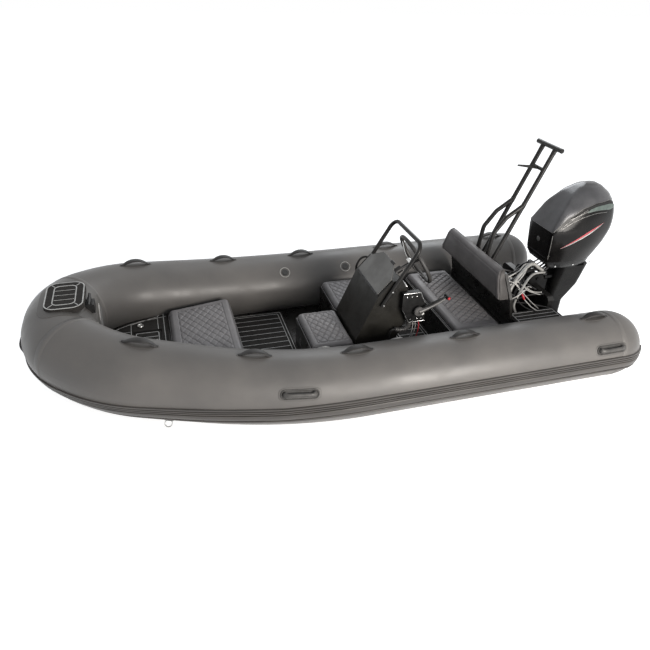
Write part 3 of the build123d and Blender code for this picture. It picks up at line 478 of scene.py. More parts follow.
def skin_patch(run, around, half_length, half_width, thickness, side, power=2.0):
    """Thin glued patch with a rounded plan that follows the skin."""
    place = skin_place(run, around, side)
    rows = []
    for share, rise in ((1.0, -0.001), (0.985, thickness * 0.8), (0.95, thickness), (0.5, thickness),
                        (0.02, thickness)):
        rows.append([place(squared(x, power) * half_length * share,
                           squared(y, power) * half_width * share, rise) for x, y in circle(ROUND_STEPS)])
    return sheet_of(rows, loop=True, closed_last=True)


strap_rubber = new_material("strap_rubber", (0.022, 0.021, 0.021), 0.5, Specular_IOR_Level=0.3,
                            mottle=((0.017, 0.016, 0.016), (0.032, 0.03, 0.029), 30), grain=(1500, 0.1))
patch_fabric = new_material("patch_fabric", (0.09, 0.085, 0.08), 0.5, grain=(900, 0.12))
straps = [grab_strap(run, side) for run in STRAP_RUNS for side in (1, -1)]
grab_straps = add_piece("grab_strap_handles", straps, strap_rubber, "boat", sharp=60)
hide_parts("grab_straps")
patches = [skin_patch(run, 90, *STRAP_PATCH, side) for run in STRAP_RUNS for side in (1, -1)]
add_piece("grab_strap_patches", patches, patch_fabric, "boat", sharp=60)

# ------------------------------------------------------------------ lifting grips and nose grip
# Stiff moulded handles on a long oval base with a raised rim; the bar ends in two round bosses.
# One stands on each shoulder and stern quarter, and one crosses the front of the nose.
GRIP_HALF, GRIP_WIDE = 0.115, 0.031
GRIP_RUNS = ((0.14, 26), (2.32, 26))
GRIP_PATCH = (0.128, 0.045, 0.0015)
# inset and rise of the base's edge, then rise and radius of the bosses
GRIP_BASE = ((0, -0.003), (0, 0.006), (0.002, 0.0085), (0.005, 0.0085), (0.007, 0.006), (0.012, 0.005),
             (0.029, 0.005))
GRIP_BOSS = ((0.003, 0.018), (0.010, 0.017), (0.016, 0.014), (0.021, 0.010))
BOSS_AT = 0.086


def blunt(share, start):
    """Falls from 1 to 0 as a quarter round, from start to the end of a bar."""
    return math.sqrt(max(0.0, 1 - max(0, abs(share) - start) ** 2 / (1 - start) ** 2))


def grip(place):
    """Handle at height 0 in its own frame: place turns (along, across, rise) into a point of the boat."""
    straight = GRIP_HALF - GRIP_WIDE
    base = [[place(math.copysign(straight, x) + x, y, rise) for x, y in circle(48, GRIP_WIDE - inset, 0.5)]
            for inset, rise in GRIP_BASE]
    bar = []
    for step in range(-20, 21):
        share = step / 20
        near_end = max(0.0, (abs(share) - 0.72) / 0.28)
        half = 0.0105 + 0.008 * math.sin(min(1, near_end * 1.15) * math.pi)
        half *= blunt(share, 0.93) * 0.999 + 0.001
        thick = 0.62 * 0.011 * (blunt(share, 0.95) * 0.9 + 0.1)
        lift = 0.0265 - 0.016 * max(0.0, (abs(share) - 0.6) / 0.4) ** 1.6
        bar.append([place(share * (GRIP_HALF - 0.012), x * half, lift + y * thick) for x, y in circle(16)])
    feet = []
    for end in (-BOSS_AT, BOSS_AT):
        feet.append(solid_of([[place(end + x, y, rise) for x, y in circle(20, wide)]
                              for rise, wide in GRIP_BOSS]))
    return together([sheet_of(base, loop=True, closed_last=True), solid_of(bar)] + feet)


grips = [grip(skin_place(run, around, side)) for run, around in GRIP_RUNS for side in (1, -1)]
grip_rubber = new_material("grip_rubber", (0.05, 0.0475, 0.046), 0.42, Specular_IOR_Level=0.4,
                           mottle=((0.04, 0.038, 0.036), (0.066, 0.063, 0.06), 30))
lifting_grips = add_piece("lifting_grip_handles", grips, grip_rubber, "boat", sharp=50)
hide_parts("lifting_grips")
patches = [skin_patch(*place, *GRIP_PATCH, side, 3.5) for place in GRIP_RUNS for side in (1, -1)]
add_piece("lifting_grip_patches", patches, patch_fabric, "boat", sharp=60)
NOSE_AROUND = -6


def nose_place(along, across, rise):
    """Over the front of the nose, along to port, following the tube up and down."""
    run, side = LAST_RUN - 0.0002 - abs(along), 1 if along >= 0 else -1
    return on_skin(run, NOSE_AROUND + math.degrees(across / TUBE_R), rise * 0.62, side)


nose_grip = add_piece("nose_grip_handle", grip(nose_place), strap_rubber, "boat", sharp=50)
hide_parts("nose_grip")

# ------------------------------------------------------------------ inflation valves
# Moulded valve bodies in the inner shoulder of each chamber, screwed through the fabric to a nut inside.
# Each shows a pale clamping ring, a seat of coated fabric and a dark screwed cap.
# A turned part's profile is (radius, height) from its foot to its top.
VALVE_RUNS = (1.58, 2.1)
VALVE_AROUND = 134


def skin_frame(run, around, side):
    """Frame on the skin: z out of the skin."""
    origin, out = on_skin(run, around, 0, side), on_skin(run, around, 1, side)
    normal = (out - origin).normalized()
    across = normal.cross(Vector((1, 0, 0))).normalized()
    return frame_of(origin, across.cross(normal), across, normal)


def turned(place, profile, steps=36):
    """Form turned on the z axis of a frame from (radius, height) points."""
    return solid_of([[place @ Vector((x, y, height)) for x, y in circle(steps, radius)]
                     for radius, height in profile])


def stood(place, degrees, axis):
    """Frame at a place, turned about one of the boat's axes."""
    return Matrix.Translation(place) @ Matrix.Rotation(math.radians(degrees), 4, axis)


VALVE_RING = ((0.042, -0.006), (0.042, 0.003), (0.0405, 0.0048), (0.0375, 0.0048), (0.036, 0.003),
              (0.0355, 0.001))
VALVE_SEAT = ((0.0358, -0.005), (0.0358, 0.0022), (0.027, 0.0034), (0.0255, 0.0034), (0.025, 0.001))
VALVE_CAP = ((0.0248, -0.002), (0.0245, 0.006), (0.022, 0.0088), (0.013, 0.0092), (0.0125, 0.0076),
             (0.001, 0.0076))
places = [skin_frame(run, VALVE_AROUND, side) for run in VALVE_RUNS for side in (1, -1)]
valve_plastic = new_material("valve_plastic", (0.42, 0.41, 0.39), 0.4,
                             mottle=((0.36, 0.35, 0.33), (0.5, 0.49, 0.47), 60), grain=(800, 0.05))
cap_plastic = new_material("cap_plastic", (0.03, 0.03, 0.03), 0.45, grain=(1200, 0.1))


def valve_piece(name, profile, material):
    """One turned part of all four valves, as a piece."""
    return add_piece(name, [turned(place, profile) for place in places], material, "boat")


rings = valve_piece("valve_rings", VALVE_RING, valve_plastic)
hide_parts("valves")
valve_piece("valve_seats", VALVE_SEAT, patch_fabric)
valve_piece("valve_caps", VALVE_CAP, cap_plastic)

# ------------------------------------------------------------------ towing rings
# Rings of stainless rod, welded closed, under the bow shoulders.
# Each is held to the tube by a stout round patch of moulded rubber, glued on.
TOW_RUN, TOW_AROUND = 3.05, -60
RING_R, RING_WIRE, RING_RISE = 0.022, 0.004, 0.030
TOW_PAD = ((0.038, -0.004), (0.038, 0.004), (0.034, 0.007), (0.018, 0.0078), (0.001, 0.008))
stainless = new_material("stainless", (0.62, 0.62, 0.61), 0.22, Metallic=1.0, grain=(400, 0.02, (1, 6, 1)),
                         scuffs=(60, 0.15, 0.32))
rings, pads = [], []
for side in (1, -1):
    place = skin_frame(TOW_RUN, TOW_AROUND, side)
    pads.append(turned(place, TOW_PAD))
    rows = []
    for x, z in circle(32):
        rows.append([place @ Vector(((RING_R + out) * x, y, RING_RISE + (RING_R + out) * z))
                     for out, y in circle(10, RING_WIRE)])
    rings.append(sheet_of(rows + rows[:1], loop=True))
tow_rings = add_piece("tow_ring_loops", rings, stainless, "boat")
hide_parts("tow_rings")
add_piece("tow_ring_patches", pads, strap_rubber, "boat")

# ------------------------------------------------------------------ hull and inner liner
# Deep-V hull and moulded deck liner, both dark, bonded together round their edge.
# The hull is satin painted outside; the liner, its lockers and lids are glossier gelcoat.
hull_gelcoat = new_material("hull_gelcoat", (0.03, 0.03, 0.031), 0.35,
                            mottle=((0.026, 0.026, 0.027), (0.042, 0.041, 0.04), 6, (0.3, 1, 1)),
                            grain=(300, 0.05, (0.2, 1, 1)))
paint(hull_gelcoat, "hull")
deck_gelcoat = new_material("deck_gelcoat", (0.012, 0.0115, 0.011), 0.32, Specular_IOR_Level=0.4,
                            mottle=((0.009, 0.0085, 0.008), (0.018, 0.017, 0.016), 9), grain=(500, 0.04),
                            scuffs=(12, 0.22, 0.4))
paint(deck_gelcoat, "deck", "bow_platform", "transom", "stern_side_decks", "bow_locker", "bow_locker_lid",
      "console_seat_box", "console_seat_lid", "side_locker_box", "side_locker_lid", "stern_seat_box",
      "stern_seat_lid", "backrest_panel")

# ------------------------------------------------------------------ deck mats
# Closed-cell foam sheet in two colours, cut to the deck's panels and glued down.
# It is routed so that its white lower layer shows as caulking lines.
MAT_T = 0.005
LINE_WIDTH = 0.0042
# step in which the gap between the tubes is felt out
PROBE = 0.004
mat_foam = new_material("mat_foam", (0.02, 0.018, 0.017), 0.85, Specular_IOR_Level=0.25,
                        mottle=((0.015, 0.014, 0.013), (0.03, 0.027, 0.025), 90, (0.25, 1, 1)),
                        grain=(1400, 0.25, (0.15, 1, 1)))
caulk_white = new_material("caulk_white", (0.62, 0.61, 0.59), 0.7,
                           mottle=((0.52, 0.51, 0.49), (0.7, 0.69, 0.67), 40), grain=(1400, 0.15))
paint(mat_foam, "floor_pads", "anchor_hatch", "bow_step")


def clear_half(x, z, gap):
    """Half width between the tubes at a height, less a gap."""
    if x < 0.0:
        return COLLAR_PLAN[0][1] - math.sqrt(TUBE_R ** 2 - (z - COLLAR_Z) ** 2) - gap
    half = 0.0
    while half < COLLAR_PLAN[0][1]:
        point = Vector((x, half + PROBE, z))
        for start, end in zip(collar_line, collar_line[1:]):
            along = end - start
            share = max(0, min(1, (point - start).dot(along) / max(along.length_squared, 1e-12)))
            if (start + along * share - point).length < TUBE_R + gap:
                return half
        half += PROBE
    return half


def middle_of(outline):
    return Vector((sum(x for x, _ in outline) / len(outline), sum(y for _, y in outline) / len(outline)))


def slab(outline, low, high):
    """Flat sheet from (x, y) points, with a small rounded upper edge."""
    middle = middle_of(outline)
    rows = []
    for draw_in, z in ((0, low), (0, high - 0.001), (0.0012, high)):
        row = []
        for x, y in outline:
            toward = (middle - Vector((x, y))).normalized() * draw_in
            row.append(Vector((x + toward.x, y + toward.y, z)))
        rows.append(row)
    return solid_of(rows)


def rounded_plan(outline, radius, steps=8):
    """Outline of (x, y) points with each corner rounded."""
    made, count = [], len(outline)
    for index in range(count):
        before, corner, after = (Vector(outline[(index + shift) % count]) for shift in (-1, 0, 1))
        made += [tuple(point) for point in bend(before, corner, after, steps, radius=radius)]
    return made


def box_plan(x0, x1, y0, y1):
    return [(x0, y0), (x1, y0), (x1, y1), (x0, y1)]


def line_on(points, width=LINE_WIDTH, closed=False, proud=0.0007):
    """Caulking line through points, as a low strip that lies level."""
    points = [Vector(point) for point in points]
    rows = []
    count = len(points)
    for index in range(count):
        before = points[index - 1] if closed or index else points[index]
        after = points[(index + 1) % count] if closed or index < count - 1 else points[index]
        heading = (after - before).normalized()
        side = Vector((-heading.y, heading.x, 0)).normalized() * width / 2
        lift, sink = Vector((0, 0, proud)), Vector((0, 0, -0.0006))
        rows.append([points[index] + side + sink, points[index] + side + lift,
                     points[index] - side + lift, points[index] - side + sink])
    return sheet_of(rows + rows[:1] if closed else rows, loop=True, closed_ends=not closed)


def level_line(plan, z, **choices):
    return line_on([(x, y, z) for x, y in plan], **choices)


# foot well mats: x aft, x forward, half width; the lines run fore and aft inside a double border
FLOOR_MATS = ((0.313, 0.737, 0.5), (-0.732, -0.458, 0.5))
FLOOR_MAT_Z = 0.096
OUTER_LINE, INNER_LINE, PLANKS = 0.014, 0.036, 14
lines = []
for aft, fore, half in FLOOR_MATS:
    for inset in (OUTER_LINE, INNER_LINE):
        plan = box_plan(aft + inset, fore - inset, -half + inset, half - inset)
        lines.append(level_line(rounded_plan(plan, 0.012, 4), FLOOR_MAT_Z, closed=True))
    for step in range(1, PLANKS):
        y = -half + INNER_LINE + 2 * (half - INNER_LINE) * step / PLANKS
        lines.append(level_line([(aft + INNER_LINE, y), (fore - INNER_LINE, y)], FLOOR_MAT_Z))
add_piece("floor_mat_lines", lines, caulk_white, "boat")

# foredeck mat round the anchor hatch, which has its own mat
FOREDECK_Z = 0.2853
HATCH_EDGE = (1.2555, 1.4485, 0.1365)
aft_x, fore_x = 1.212, 1.60
x0, x1, half = HATCH_EDGE


def mat_half(x):
    """Half width of the foredeck mat, which stops a little short of the tubes."""
    return clear_half(x, 0.29, 0.012)


top = FOREDECK_Z + MAT_T
mats = [slab([(aft_x, -mat_half(aft_x)), (x0, -mat_half(x0)), (x0, mat_half(x0)), (aft_x, mat_half(aft_x))],
             FOREDECK_Z, top)]
for side in (1, -1):
    reach = [x0 + (x1 - x0) * step / 6 for step in range(7)]
    plan = [(x0, side * half), *[(x, side * mat_half(x)) for x in reach], (x1, side * half)]
    mats.append(slab(plan, FOREDECK_Z, top))
reach = [x1 + (fore_x - x1) * step / 8 for step in range(9)]
plan = [(x, mat_half(x)) for x in reach] + [(x, -mat_half(x)) for x in reversed(reach)]
mats.append(slab(plan, FOREDECK_Z, top))
add_piece("foredeck_mat", mats, mat_foam, "boat")
lines = [level_line([(1.236, -0.375), (1.236, 0.375)], top)]
LINES_EACH_SIDE = (((1.236, 0.375), (1.278, 0.31)),
                   ((1.278, 0.142), (1.278, 0.31), (1.462, 0.235), (1.462, 0)))
for side in (1, -1):
    for line in LINES_EACH_SIDE:
        lines.append(level_line([(x, side * y) for x, y in line], top))
    edge = [(x, side * (mat_half(x) - 0.022)) for x in (1.22, 1.3, 1.38, 1.46, 1.53, 1.585)]
    lines.append(level_line(edge, top))
    for y in (0.07, 0.14):
        lines.append(level_line([(1.468, side * y), (1.598 - y * 0.35, side * y)], top))
add_piece("foredeck_lines", lines, caulk_white, "boat")
HATCH_Z = 0.285
border = rounded_plan(box_plan(1.278, 1.43, -0.116, 0.116), 0.012, 4)
hatch_lines = [level_line(border, HATCH_Z, closed=True)]
hatch_lines += [level_line([(1.282, y), (1.426, y)], HATCH_Z) for y in (-0.058, 0, 0.058)]
add_piece("anchor_hatch_lines", hatch_lines, caulk_white, "anchor_hatch_lid")

# stern steps beside the engine well
STEP_Z = 0.3503
STEP_AFT, STEP_FORE, STEP_INNER = -1.61, -1.232, 0.335
BORDER, STEP_LINES = 0.017, 4
mats, lines = [], []
for side in (1, -1):
    outer = clear_half(-1.4, STEP_Z + 0.004, 0.008)
    plan = [(x, side * y) for x, y in box_plan(STEP_AFT, STEP_FORE, STEP_INNER, outer)]
    mats.append(slab(plan if side > 0 else plan[::-1], STEP_Z, STEP_Z + MAT_T))
    ends = (STEP_AFT + 0.015, STEP_FORE - 0.015)
    inner, outer = STEP_INNER + BORDER, outer - BORDER
    for step in range(STEP_LINES):
        y = inner + (outer - inner) * step / (STEP_LINES - 1)
        lines.append(level_line([(x, side * y) for x in ends], STEP_Z + MAT_T))
    for x in ends:
        lines.append(level_line([(x, side * inner), (x, side * outer)], STEP_Z + MAT_T))
add_piece("stern_step_mats", mats, mat_foam, "boat")
add_piece("stern_step_lines", lines, caulk_white, "boat")

# ------------------------------------------------------------------ bow step, its skirt and the mooring cleat
# A moulded step pad glued on top of the nose, over a wide rubber skirt that spreads the load.
# Its tread is the same routed foam, with a white outer and inner outline joined at the corners.
STEP_TOP, TREAD_T = 0.7043, 0.004
DRAPE_RINGS = 10


def surface_of(mesh):
    """Surface of a mesh, for finding points on it."""
    return BVHTree.FromPolygons([vertex.co[:] for vertex in mesh.vertices],
                                [polygon.vertices[:] for polygon in mesh.polygons])


nose_trees = [surface_of(NODES[name].data) for name in ("tube_nose", "shoulder_port", "shoulder_starboard")]


def tube_top(x, y):
    """Height of the collar's skin under a point in plan."""
    hits = [tree.ray_cast(Vector((x, y, 1.5)), -UP)[0] for tree in nose_trees]
    return max([hit.z for hit in hits if hit] or [0.4])


def draped(outline, thickness):
    """Sheet that follows the collar's skin inside a plan outline."""
    middle = middle_of(outline)
    rows = []
    for ring in range(DRAPE_RINGS + 1):
        share = 1 - ring / DRAPE_RINGS * 0.98
        row = []
        for x, y in outline:
            place = middle.lerp(Vector((x, y)), share)
            row.append(Vector((place.x, place.y, tube_top(place.x, place.y) + thickness)))
        rows.append(row)
    edge = [Vector((x, y, tube_top(x, y) - 0.002)) for x, y in outline]
    return solid_of([edge] + rows)


skirt = rounded_plan(box_plan(1.622, 1.965, -0.215, 0.215), 0.09, 6)
skirt_plan = []
for before, after in zip(skirt, skirt[1:] + skirt[:1]):
    for step in range(3):
        skirt_plan.append([before[axis] + (after[axis] - before[axis]) * step / 3 for axis in (0, 1)])
add_piece("bow_step_skirt", draped(skirt_plan, 0.0035), patch_fabric, "boat", sharp=60)
tread = rounded_plan(box_plan(1.702, 1.914, -0.165, 0.165), 0.062, 8)
add_piece("bow_step_tread", slab(tread, STEP_TOP, STEP_TOP + TREAD_T), mat_foam, "boat")
outer = rounded_plan(box_plan(1.697, 1.919, -0.169, 0.169), 0.066, 8)
inner = rounded_plan(box_plan(1.742, 1.874, -0.122, 0.122), 0.034, 8)
top = STEP_TOP + TREAD_T
lines = [level_line(outer, top - 0.001, closed=True, width=0.007),
         level_line(inner, top, closed=True, width=0.0065)]
for x, away in ((1.744, -0.022), (1.872, 0.022)):
    for side in (1, -1):
        lines.append(level_line([(x, side * 0.114), (x + away, side * 0.144)], top, width=0.005))
lines += [level_line([(1.748, y), (1.868, y)], top, width=0.0028) for y in (-0.061, 0, 0.061)]
skirt_line = [(1.634, -0.12 + 0.24 * step / 12) for step in range(13)]
lines.append(line_on([(x, y, tube_top(x, y) + 0.004) for x, y in skirt_line], width=0.006, proud=0.002))
add_piece("bow_step_lines", lines, caulk_white, "boat")
fitting_black = new_material("fitting_black", (0.015, 0.015, 0.016), 0.38, Specular_IOR_Level=0.3,
                             mottle=((0.011, 0.011, 0.012), (0.024, 0.023, 0.023), 25), grain=(900, 0.08),
                             scuffs=(40, 0.28, 0.48))
paint(fitting_black, "bow_cleat", "helm_shaft", "instrument_panel")


def rod_form(points, radius, sides=12, closed=False):
    """Round bar or hose wall along points; closed brings it back to its first point."""
    points = [Vector(point) for point in points]
    if closed:
        points.append(points[0])
    rows = []
    lean = None
    for index, point in enumerate(points):
        before, after = points[max(index - 1, 0)], points[min(index + 1, len(points) - 1)]
        heading = (after - before).normalized()
        if lean is None:
            lean = heading.orthogonal().normalized()
        lean = (lean - heading * lean.dot(heading)).normalized()
        beside = heading.cross(lean)
        reach = radius[index] if isinstance(radius, (list, tuple)) else radius
        rows.append([point + (lean * u + beside * v) * reach for u, v in circle(sides)])
    return solid_of(rows)


def flat_ring(x, y, z, radius, count):
    """Points of a ring that lies level."""
    return [(x + fore, y + across, z) for fore, across in circle(count, radius)]


# small ring cleat on the foredeck and the anchor hatch's pull ring
cleat = [rod_form(flat_ring(1.398, -0.206, 0.2945, 0.02, 24), 0.0035, 8, closed=True),
         rod_form([(1.398, -0.206, z) for z in (0.2895, 0.292)], 0.02, 20)]
add_piece("foredeck_ring", cleat, stainless, "boat")
pull = rod_form(flat_ring(1.292, 0, 0.2885, 0.011, 20), 0.002, 8, closed=True)
add_piece("anchor_hatch_pull", pull, stainless, "anchor_hatch_lid")

# ------------------------------------------------------------------ seat cushions
# Foam pads covered in grey-taupe marine vinyl, each screwed to its hinged lid.
# The middle panel is quilted and sewn to a plain border with a double row of thread, and a piping
# of the same vinyl runs round the foot.
LID_TOP = 0.305
CUSHION_TOP = 0.35
# inset and height of the pad's edge, from its foot to its crown
PAD_EDGE = (
    (0.010, LID_TOP + 0.0004), (0.004, LID_TOP + 0.006), (0.003, LID_TOP + 0.018),
    (0.005, CUSHION_TOP - 0.016), (0.011, CUSHION_TOP - 0.007), (0.024, CUSHION_TOP - 0.003),
)
PAD_CORNER, PANEL_CORNER = 0.026, 0.02
STITCH, STITCH_GAP = 0.0055, 0.0035
VOXEL = 0.0065
PRESSURE, LAST_FRAME, PUFF = 4, 14, 0.006
seat_vinyl = new_material("seat_vinyl", (0.172, 0.162, 0.164), 0.52, Sheen_Weight=0.1,
                          mottle=((0.152, 0.142, 0.144), (0.194, 0.183, 0.185), 7))
grain = wire(seat_vinyl, "ShaderNodeTexVoronoi", Vector=surface_place(seat_vinyl), Scale=600.0)
grain_bump = wire(seat_vinyl, "ShaderNodeBump", Height=grain.outputs["Distance"], Distance=0.00012)
join_to_shader(seat_vinyl, "Normal", grain_bump.outputs["Normal"])
add_scuffs(seat_vinyl, 9, 0.45, 0.6)
seam_thread = new_material("seam_thread", (0.075, 0.07, 0.068), 0.7, grain=(3000, 0.1))


def drawn_in(outline, inset):
    """Convex outline of (x, y) points, counter-clockwise, with its edges moved in."""
    lines = []
    for start, end in zip(outline, outline[1:] + outline[:1]):
        start, end = Vector(start), Vector(end)
        heading = (end - start).normalized()
        lines.append((start + Vector((-heading.y, heading.x)) * inset, heading))
    made = []
    for (base, heading), (base_b, heading_b) in zip(lines[-1:] + lines[:-1], lines):
        cross = heading.x * heading_b.y - heading.y * heading_b.x
        gap = base_b - base
        made.append(tuple(base + heading * ((gap.x * heading_b.y - gap.y * heading_b.x) / cross)))
    return made


def edge_distance(outline, x, y):
    """How far a point lies inside a convex outline."""
    least = 1.0
    for (x0, y0), (x1, y1) in zip(outline, outline[1:] + outline[:1]):
        least = min(least, ((x1 - x0) * (y - y0) - (y1 - y0) * (x - x0)) / math.hypot(x1 - x0, y1 - y0))
    return least


def with_modifiers(piece):
    """Replaces a piece's mesh by what its modifiers make of it, and takes them off."""
    graph = bpy.context.evaluated_depsgraph_get()
    made = bpy.data.meshes.new_from_object(piece.evaluated_get(graph), depsgraph=graph)
    piece.modifiers.clear()
    piece.data = made


def plumped(piece, cap, floor_z=None):
    """Remeshes a closed pad and blows it up a little under pressure, as filled foam under a tight cover."""
    remesh = piece.modifiers.new("even_faces", "REMESH")
    remesh.mode = "VOXEL"
    remesh.voxel_size = VOXEL
    with_modifiers(piece)
    rest = [vertex.co.copy() for vertex in piece.data.vertices]
    cloth = piece.modifiers.new("pressure", "CLOTH")
    cloth.settings.use_pressure = True
    cloth.settings.uniform_pressure_force = PRESSURE
    cloth.settings.effector_weights.gravity = 0
    cloth.settings.quality = 4
    scene = bpy.context.scene
    for number in range(1, LAST_FRAME + 1):
        scene.frame_set(number)
    with_modifiers(piece)
    scene.frame_set(1)
    for vertex, start in zip(piece.data.vertices, rest):
        shift = vertex.co - start
        if shift.length > cap:
            vertex.co = start + shift * (cap / shift.length)
        if floor_z is not None:
            vertex.co.z = max(vertex.co.z, floor_z)
    finer = piece.modifiers.new("finer", "SUBSURF")
    finer.levels = 1
    finer.render_levels = 1
    with_modifiers(piece)
    piece.data.shade_smooth()


def sewn(piece, depth, out=UP):
    """Sinks the cover along its sewn lines: depth gives how far, at a point."""
    normals = [vertex.normal.copy() for vertex in piece.data.vertices]
    for vertex, normal in zip(piece.data.vertices, normals):
        facing = normal.dot(out)
        if facing > 0.3:
            vertex.co -= out * depth(vertex.co) * min(1.0, (facing - 0.3) / 0.4)


def groove(distance, width):
    return math.exp(-(distance / width) ** 2)


def stitches(path, surface, lift, closed=True):
    """Row of thread stitches along a path of points, laid on a surface."""
    forms = []
    path = [Vector(point) for point in path]
    if closed:
        path.append(path[0])
    run, gone = 0.0, 0.0
    for start, end in zip(path, path[1:]):
        reach = (end - start).length
        while gone < run + reach:
            share = (gone - run) / reach
            first = start.lerp(end, share)
            last = start.lerp(end, min(1.0, share + STITCH / reach))
            laid = []
            for point in (first, first.lerp(last, 0.5), last):
                hit = surface.ray_cast(point + lift * 0.05, -lift)[0]
                laid.append((hit if hit else point) + lift * 0.0002)
            if (laid[2] - laid[0]).length > 0.001:
                forms.append(rod_form(laid, [0.0003, 0.0007, 0.0003], 6))
            gone += STITCH + STITCH_GAP
        run += reach
    return together(forms)


def seat_cushion(name, outline, border, quilt, body, node, field=None):
    """Cushion on a lid: border is the width of the plain edge, quilt the depth of its pattern at (x, y).

    field is the outline that the quilted panel is drawn in from, where that isn't the cushion's own."""
    rows = [[Vector((x, y, z)) for x, y in rounded_plan(drawn_in(outline, inset), PAD_CORNER)]
            for inset, z in PAD_EDGE]
    piece = add_piece(name, solid_of(rows), seat_vinyl, body)
    plumped(piece, PUFF, PAD_EDGE[0][1])
    field = field or outline
    panel = drawn_in(field, border)

    def depth(point):
        inside = edge_distance(panel, point.x, point.y)
        sunk = 0.0045 * groove(inside, 0.0045)
        if inside > 0:
            sunk += quilt(point.x, point.y) * min(1.0, inside / 0.006)
        return sunk - 0.0025 * min(1, max(0, inside) / 0.1)

    sewn(piece, depth)
    surface = surface_of(piece.data)
    threads = []
    for inset in (-0.007, 0.007):
        row = rounded_plan(drawn_in(field, border + inset), PANEL_CORNER, 5)
        threads.append(stitches([(x, y, CUSHION_TOP) for x, y in row], surface, UP))
    add_piece(name + "_thread", threads, seam_thread, body)
    foot = rounded_plan(drawn_in(outline, 0.0025), PAD_CORNER)
    piping = [Vector((x, y, LID_TOP + 0.0045)) for x, y in foot]
    add_piece(name + "_piping", rod_form(piping, 0.0032, 8, closed=True), seat_vinyl, body)
    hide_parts(node)


def diamonds(size, slant, depth):
    """Quilting in two crossed rows of channels, with a pillow between them."""
    def at(x, y):
        rows = []
        for side in (1, -1):
            along = (x * math.sin(slant) * side + y * math.cos(slant)) / size
            rows.append(abs(along - round(along)) * size)
        pillow = math.sqrt(max(0.0, min(rows) / size))
        return depth * (groove(rows[0], 0.004) + groove(rows[1], 0.004)) * 0.8 - depth * 0.5 * pillow
    return at


BOW_CUSHION = [(0.745, -0.385), (1.2, -0.29), (1.2, 0.29), (0.745, 0.385)]
SMALL_QUILT = diamonds(0.044, 1.0, 0.006)
seat_cushion("bow_seat_cushion", BOW_CUSHION, 0.066, diamonds(0.046, 1.0, 0.006), "bow_lid", "bow_cushion")
seat_cushion("helm_seat_cushion", box_plan(0.005, 0.305, -0.04, 0.425), 0.045, SMALL_QUILT,
             "helm_seat_lid", "console_seat_cushion")
seat_cushion("side_seat_cushion", box_plan(-0.45, -0.005, -0.472, -0.062), 0.045, SMALL_QUILT,
             "side_lid", "side_locker_cushion")
seat_cushion("stern_bench_cushion", box_plan(-1.108, -0.74, -0.455, 0.455), 0.076,
             diamonds(0.044, 0.63, 0.0085), "stern_lid", "stern_seat_cushion",
             field=box_plan(-1.152, -0.74, -0.455, 0.455))

# ------------------------------------------------------------------ backrest
# A foam bolster on a black moulded bulkhead, in a slightly darker vinyl, smooth and rounded over its top.
# Its end panels are covered in a much darker vinyl, which is painted shade on the bolster's ends. Small turn
# latches stand on the bulkhead under it.
BACK_FRONT = -1.03
# height, front x, aft x, half length
BACK_ROWS = (
    (0.5485, -1.052, -1.1215, 0.440), (0.556, -1.036, -1.1215, 0.450), (0.60, -1.0325, -1.111, 0.446),
    (0.68, -1.034, -1.0945, 0.412), (0.725, -1.038, -1.0915, 0.393), (0.746, -1.048, -1.0925, 0.384),
    (0.756, -1.064, -1.0935, 0.376),
)
BACK_HALF, BACK_FOOT, BACK_TAPER = 0.455, 0.548, 0.33
BACK_SEAM_Z, END_SEAM, SEAM_GAP = 0.725, 0.035, 0.006
FORWARD = Vector((1, 0, 0))


def back_corner(front, aft):
    """Radius of the bolster's corners in plan."""
    return min(0.012, (front - aft) * 0.4)


rows = []
for z, front, aft, half in BACK_ROWS:
    plan = rounded_plan(box_plan(aft, front, -half, half), back_corner(front, aft), 5)
    rows.append([Vector((x, y, z)) for x, y in plan])
backrest_vinyl = new_material("backrest_vinyl", (0.138, 0.128, 0.127), 0.55, Specular_IOR_Level=0.35,
                              mottle=((0.122, 0.113, 0.112), (0.156, 0.145, 0.143), 7), grain=(600, 0.12),
                              scuffs=(9, 0.48, 0.62))
backrest = add_piece("backrest_bolster", solid_of(rows), backrest_vinyl, "boat")
plumped(backrest, 0.004)


def back_half(z):
    """Half length of the bolster at a height."""
    return BACK_HALF - (z - BACK_FOOT) * BACK_TAPER


def backrest_seam(point):
    at_ends = groove(abs(abs(point.y) - (back_half(point.z) - END_SEAM)), 0.004)
    return 0.003 * at_ends + 0.003 * groove(abs(point.z - BACK_SEAM_Z), 0.0045)


sewn(backrest, backrest_seam, FORWARD)
surface = surface_of(backrest.data)
threads = []
for beside in (-SEAM_GAP, SEAM_GAP):
    for side in (1, -1):
        path = [(BACK_FRONT, side * (back_half(z) - END_SEAM - beside), z) for z in (0.56, 0.71)]
        threads.append(stitches(path, surface, FORWARD, closed=False))
for beside in (-SEAM_GAP, SEAM_GAP):
    path = [(BACK_FRONT, y, BACK_SEAM_Z + beside) for y in (-0.36, 0.36)]
    threads.append(stitches(path, surface, FORWARD, closed=False))
add_piece("backrest_thread", threads, seam_thread, "boat")
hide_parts("backrest_pad")

# end panels, sewn on with a piped edge: thin covers over the bolster's ends in a darker vinyl, which paints
# the shade on the ends
painted_shade_vinyl = new_material("painted_shade_vinyl", (0.05, 0.046, 0.044), 0.5, Specular_IOR_Level=0.35,
                         mottle=((0.042, 0.038, 0.036), (0.06, 0.056, 0.053), 9), grain=(600, 0.12))
end_shade_panels = []
for side in (1, -1):
    rows = []
    for z, front, aft, half in BACK_ROWS:
        edge = back_corner(front, aft) * 0.55
        rows.append([Vector((x, side * y, z)) for x, y in (
            (front - edge, half - 0.003), (front - edge - 0.003, half + 0.0012),
            (aft + edge + 0.003, half + 0.0012), (aft + edge, half - 0.003))])
    end_shade_panels.append(solid_of(rows))
add_piece("backrest_end_painted_shade", end_shade_panels, painted_shade_vinyl, "boat", sharp=50)

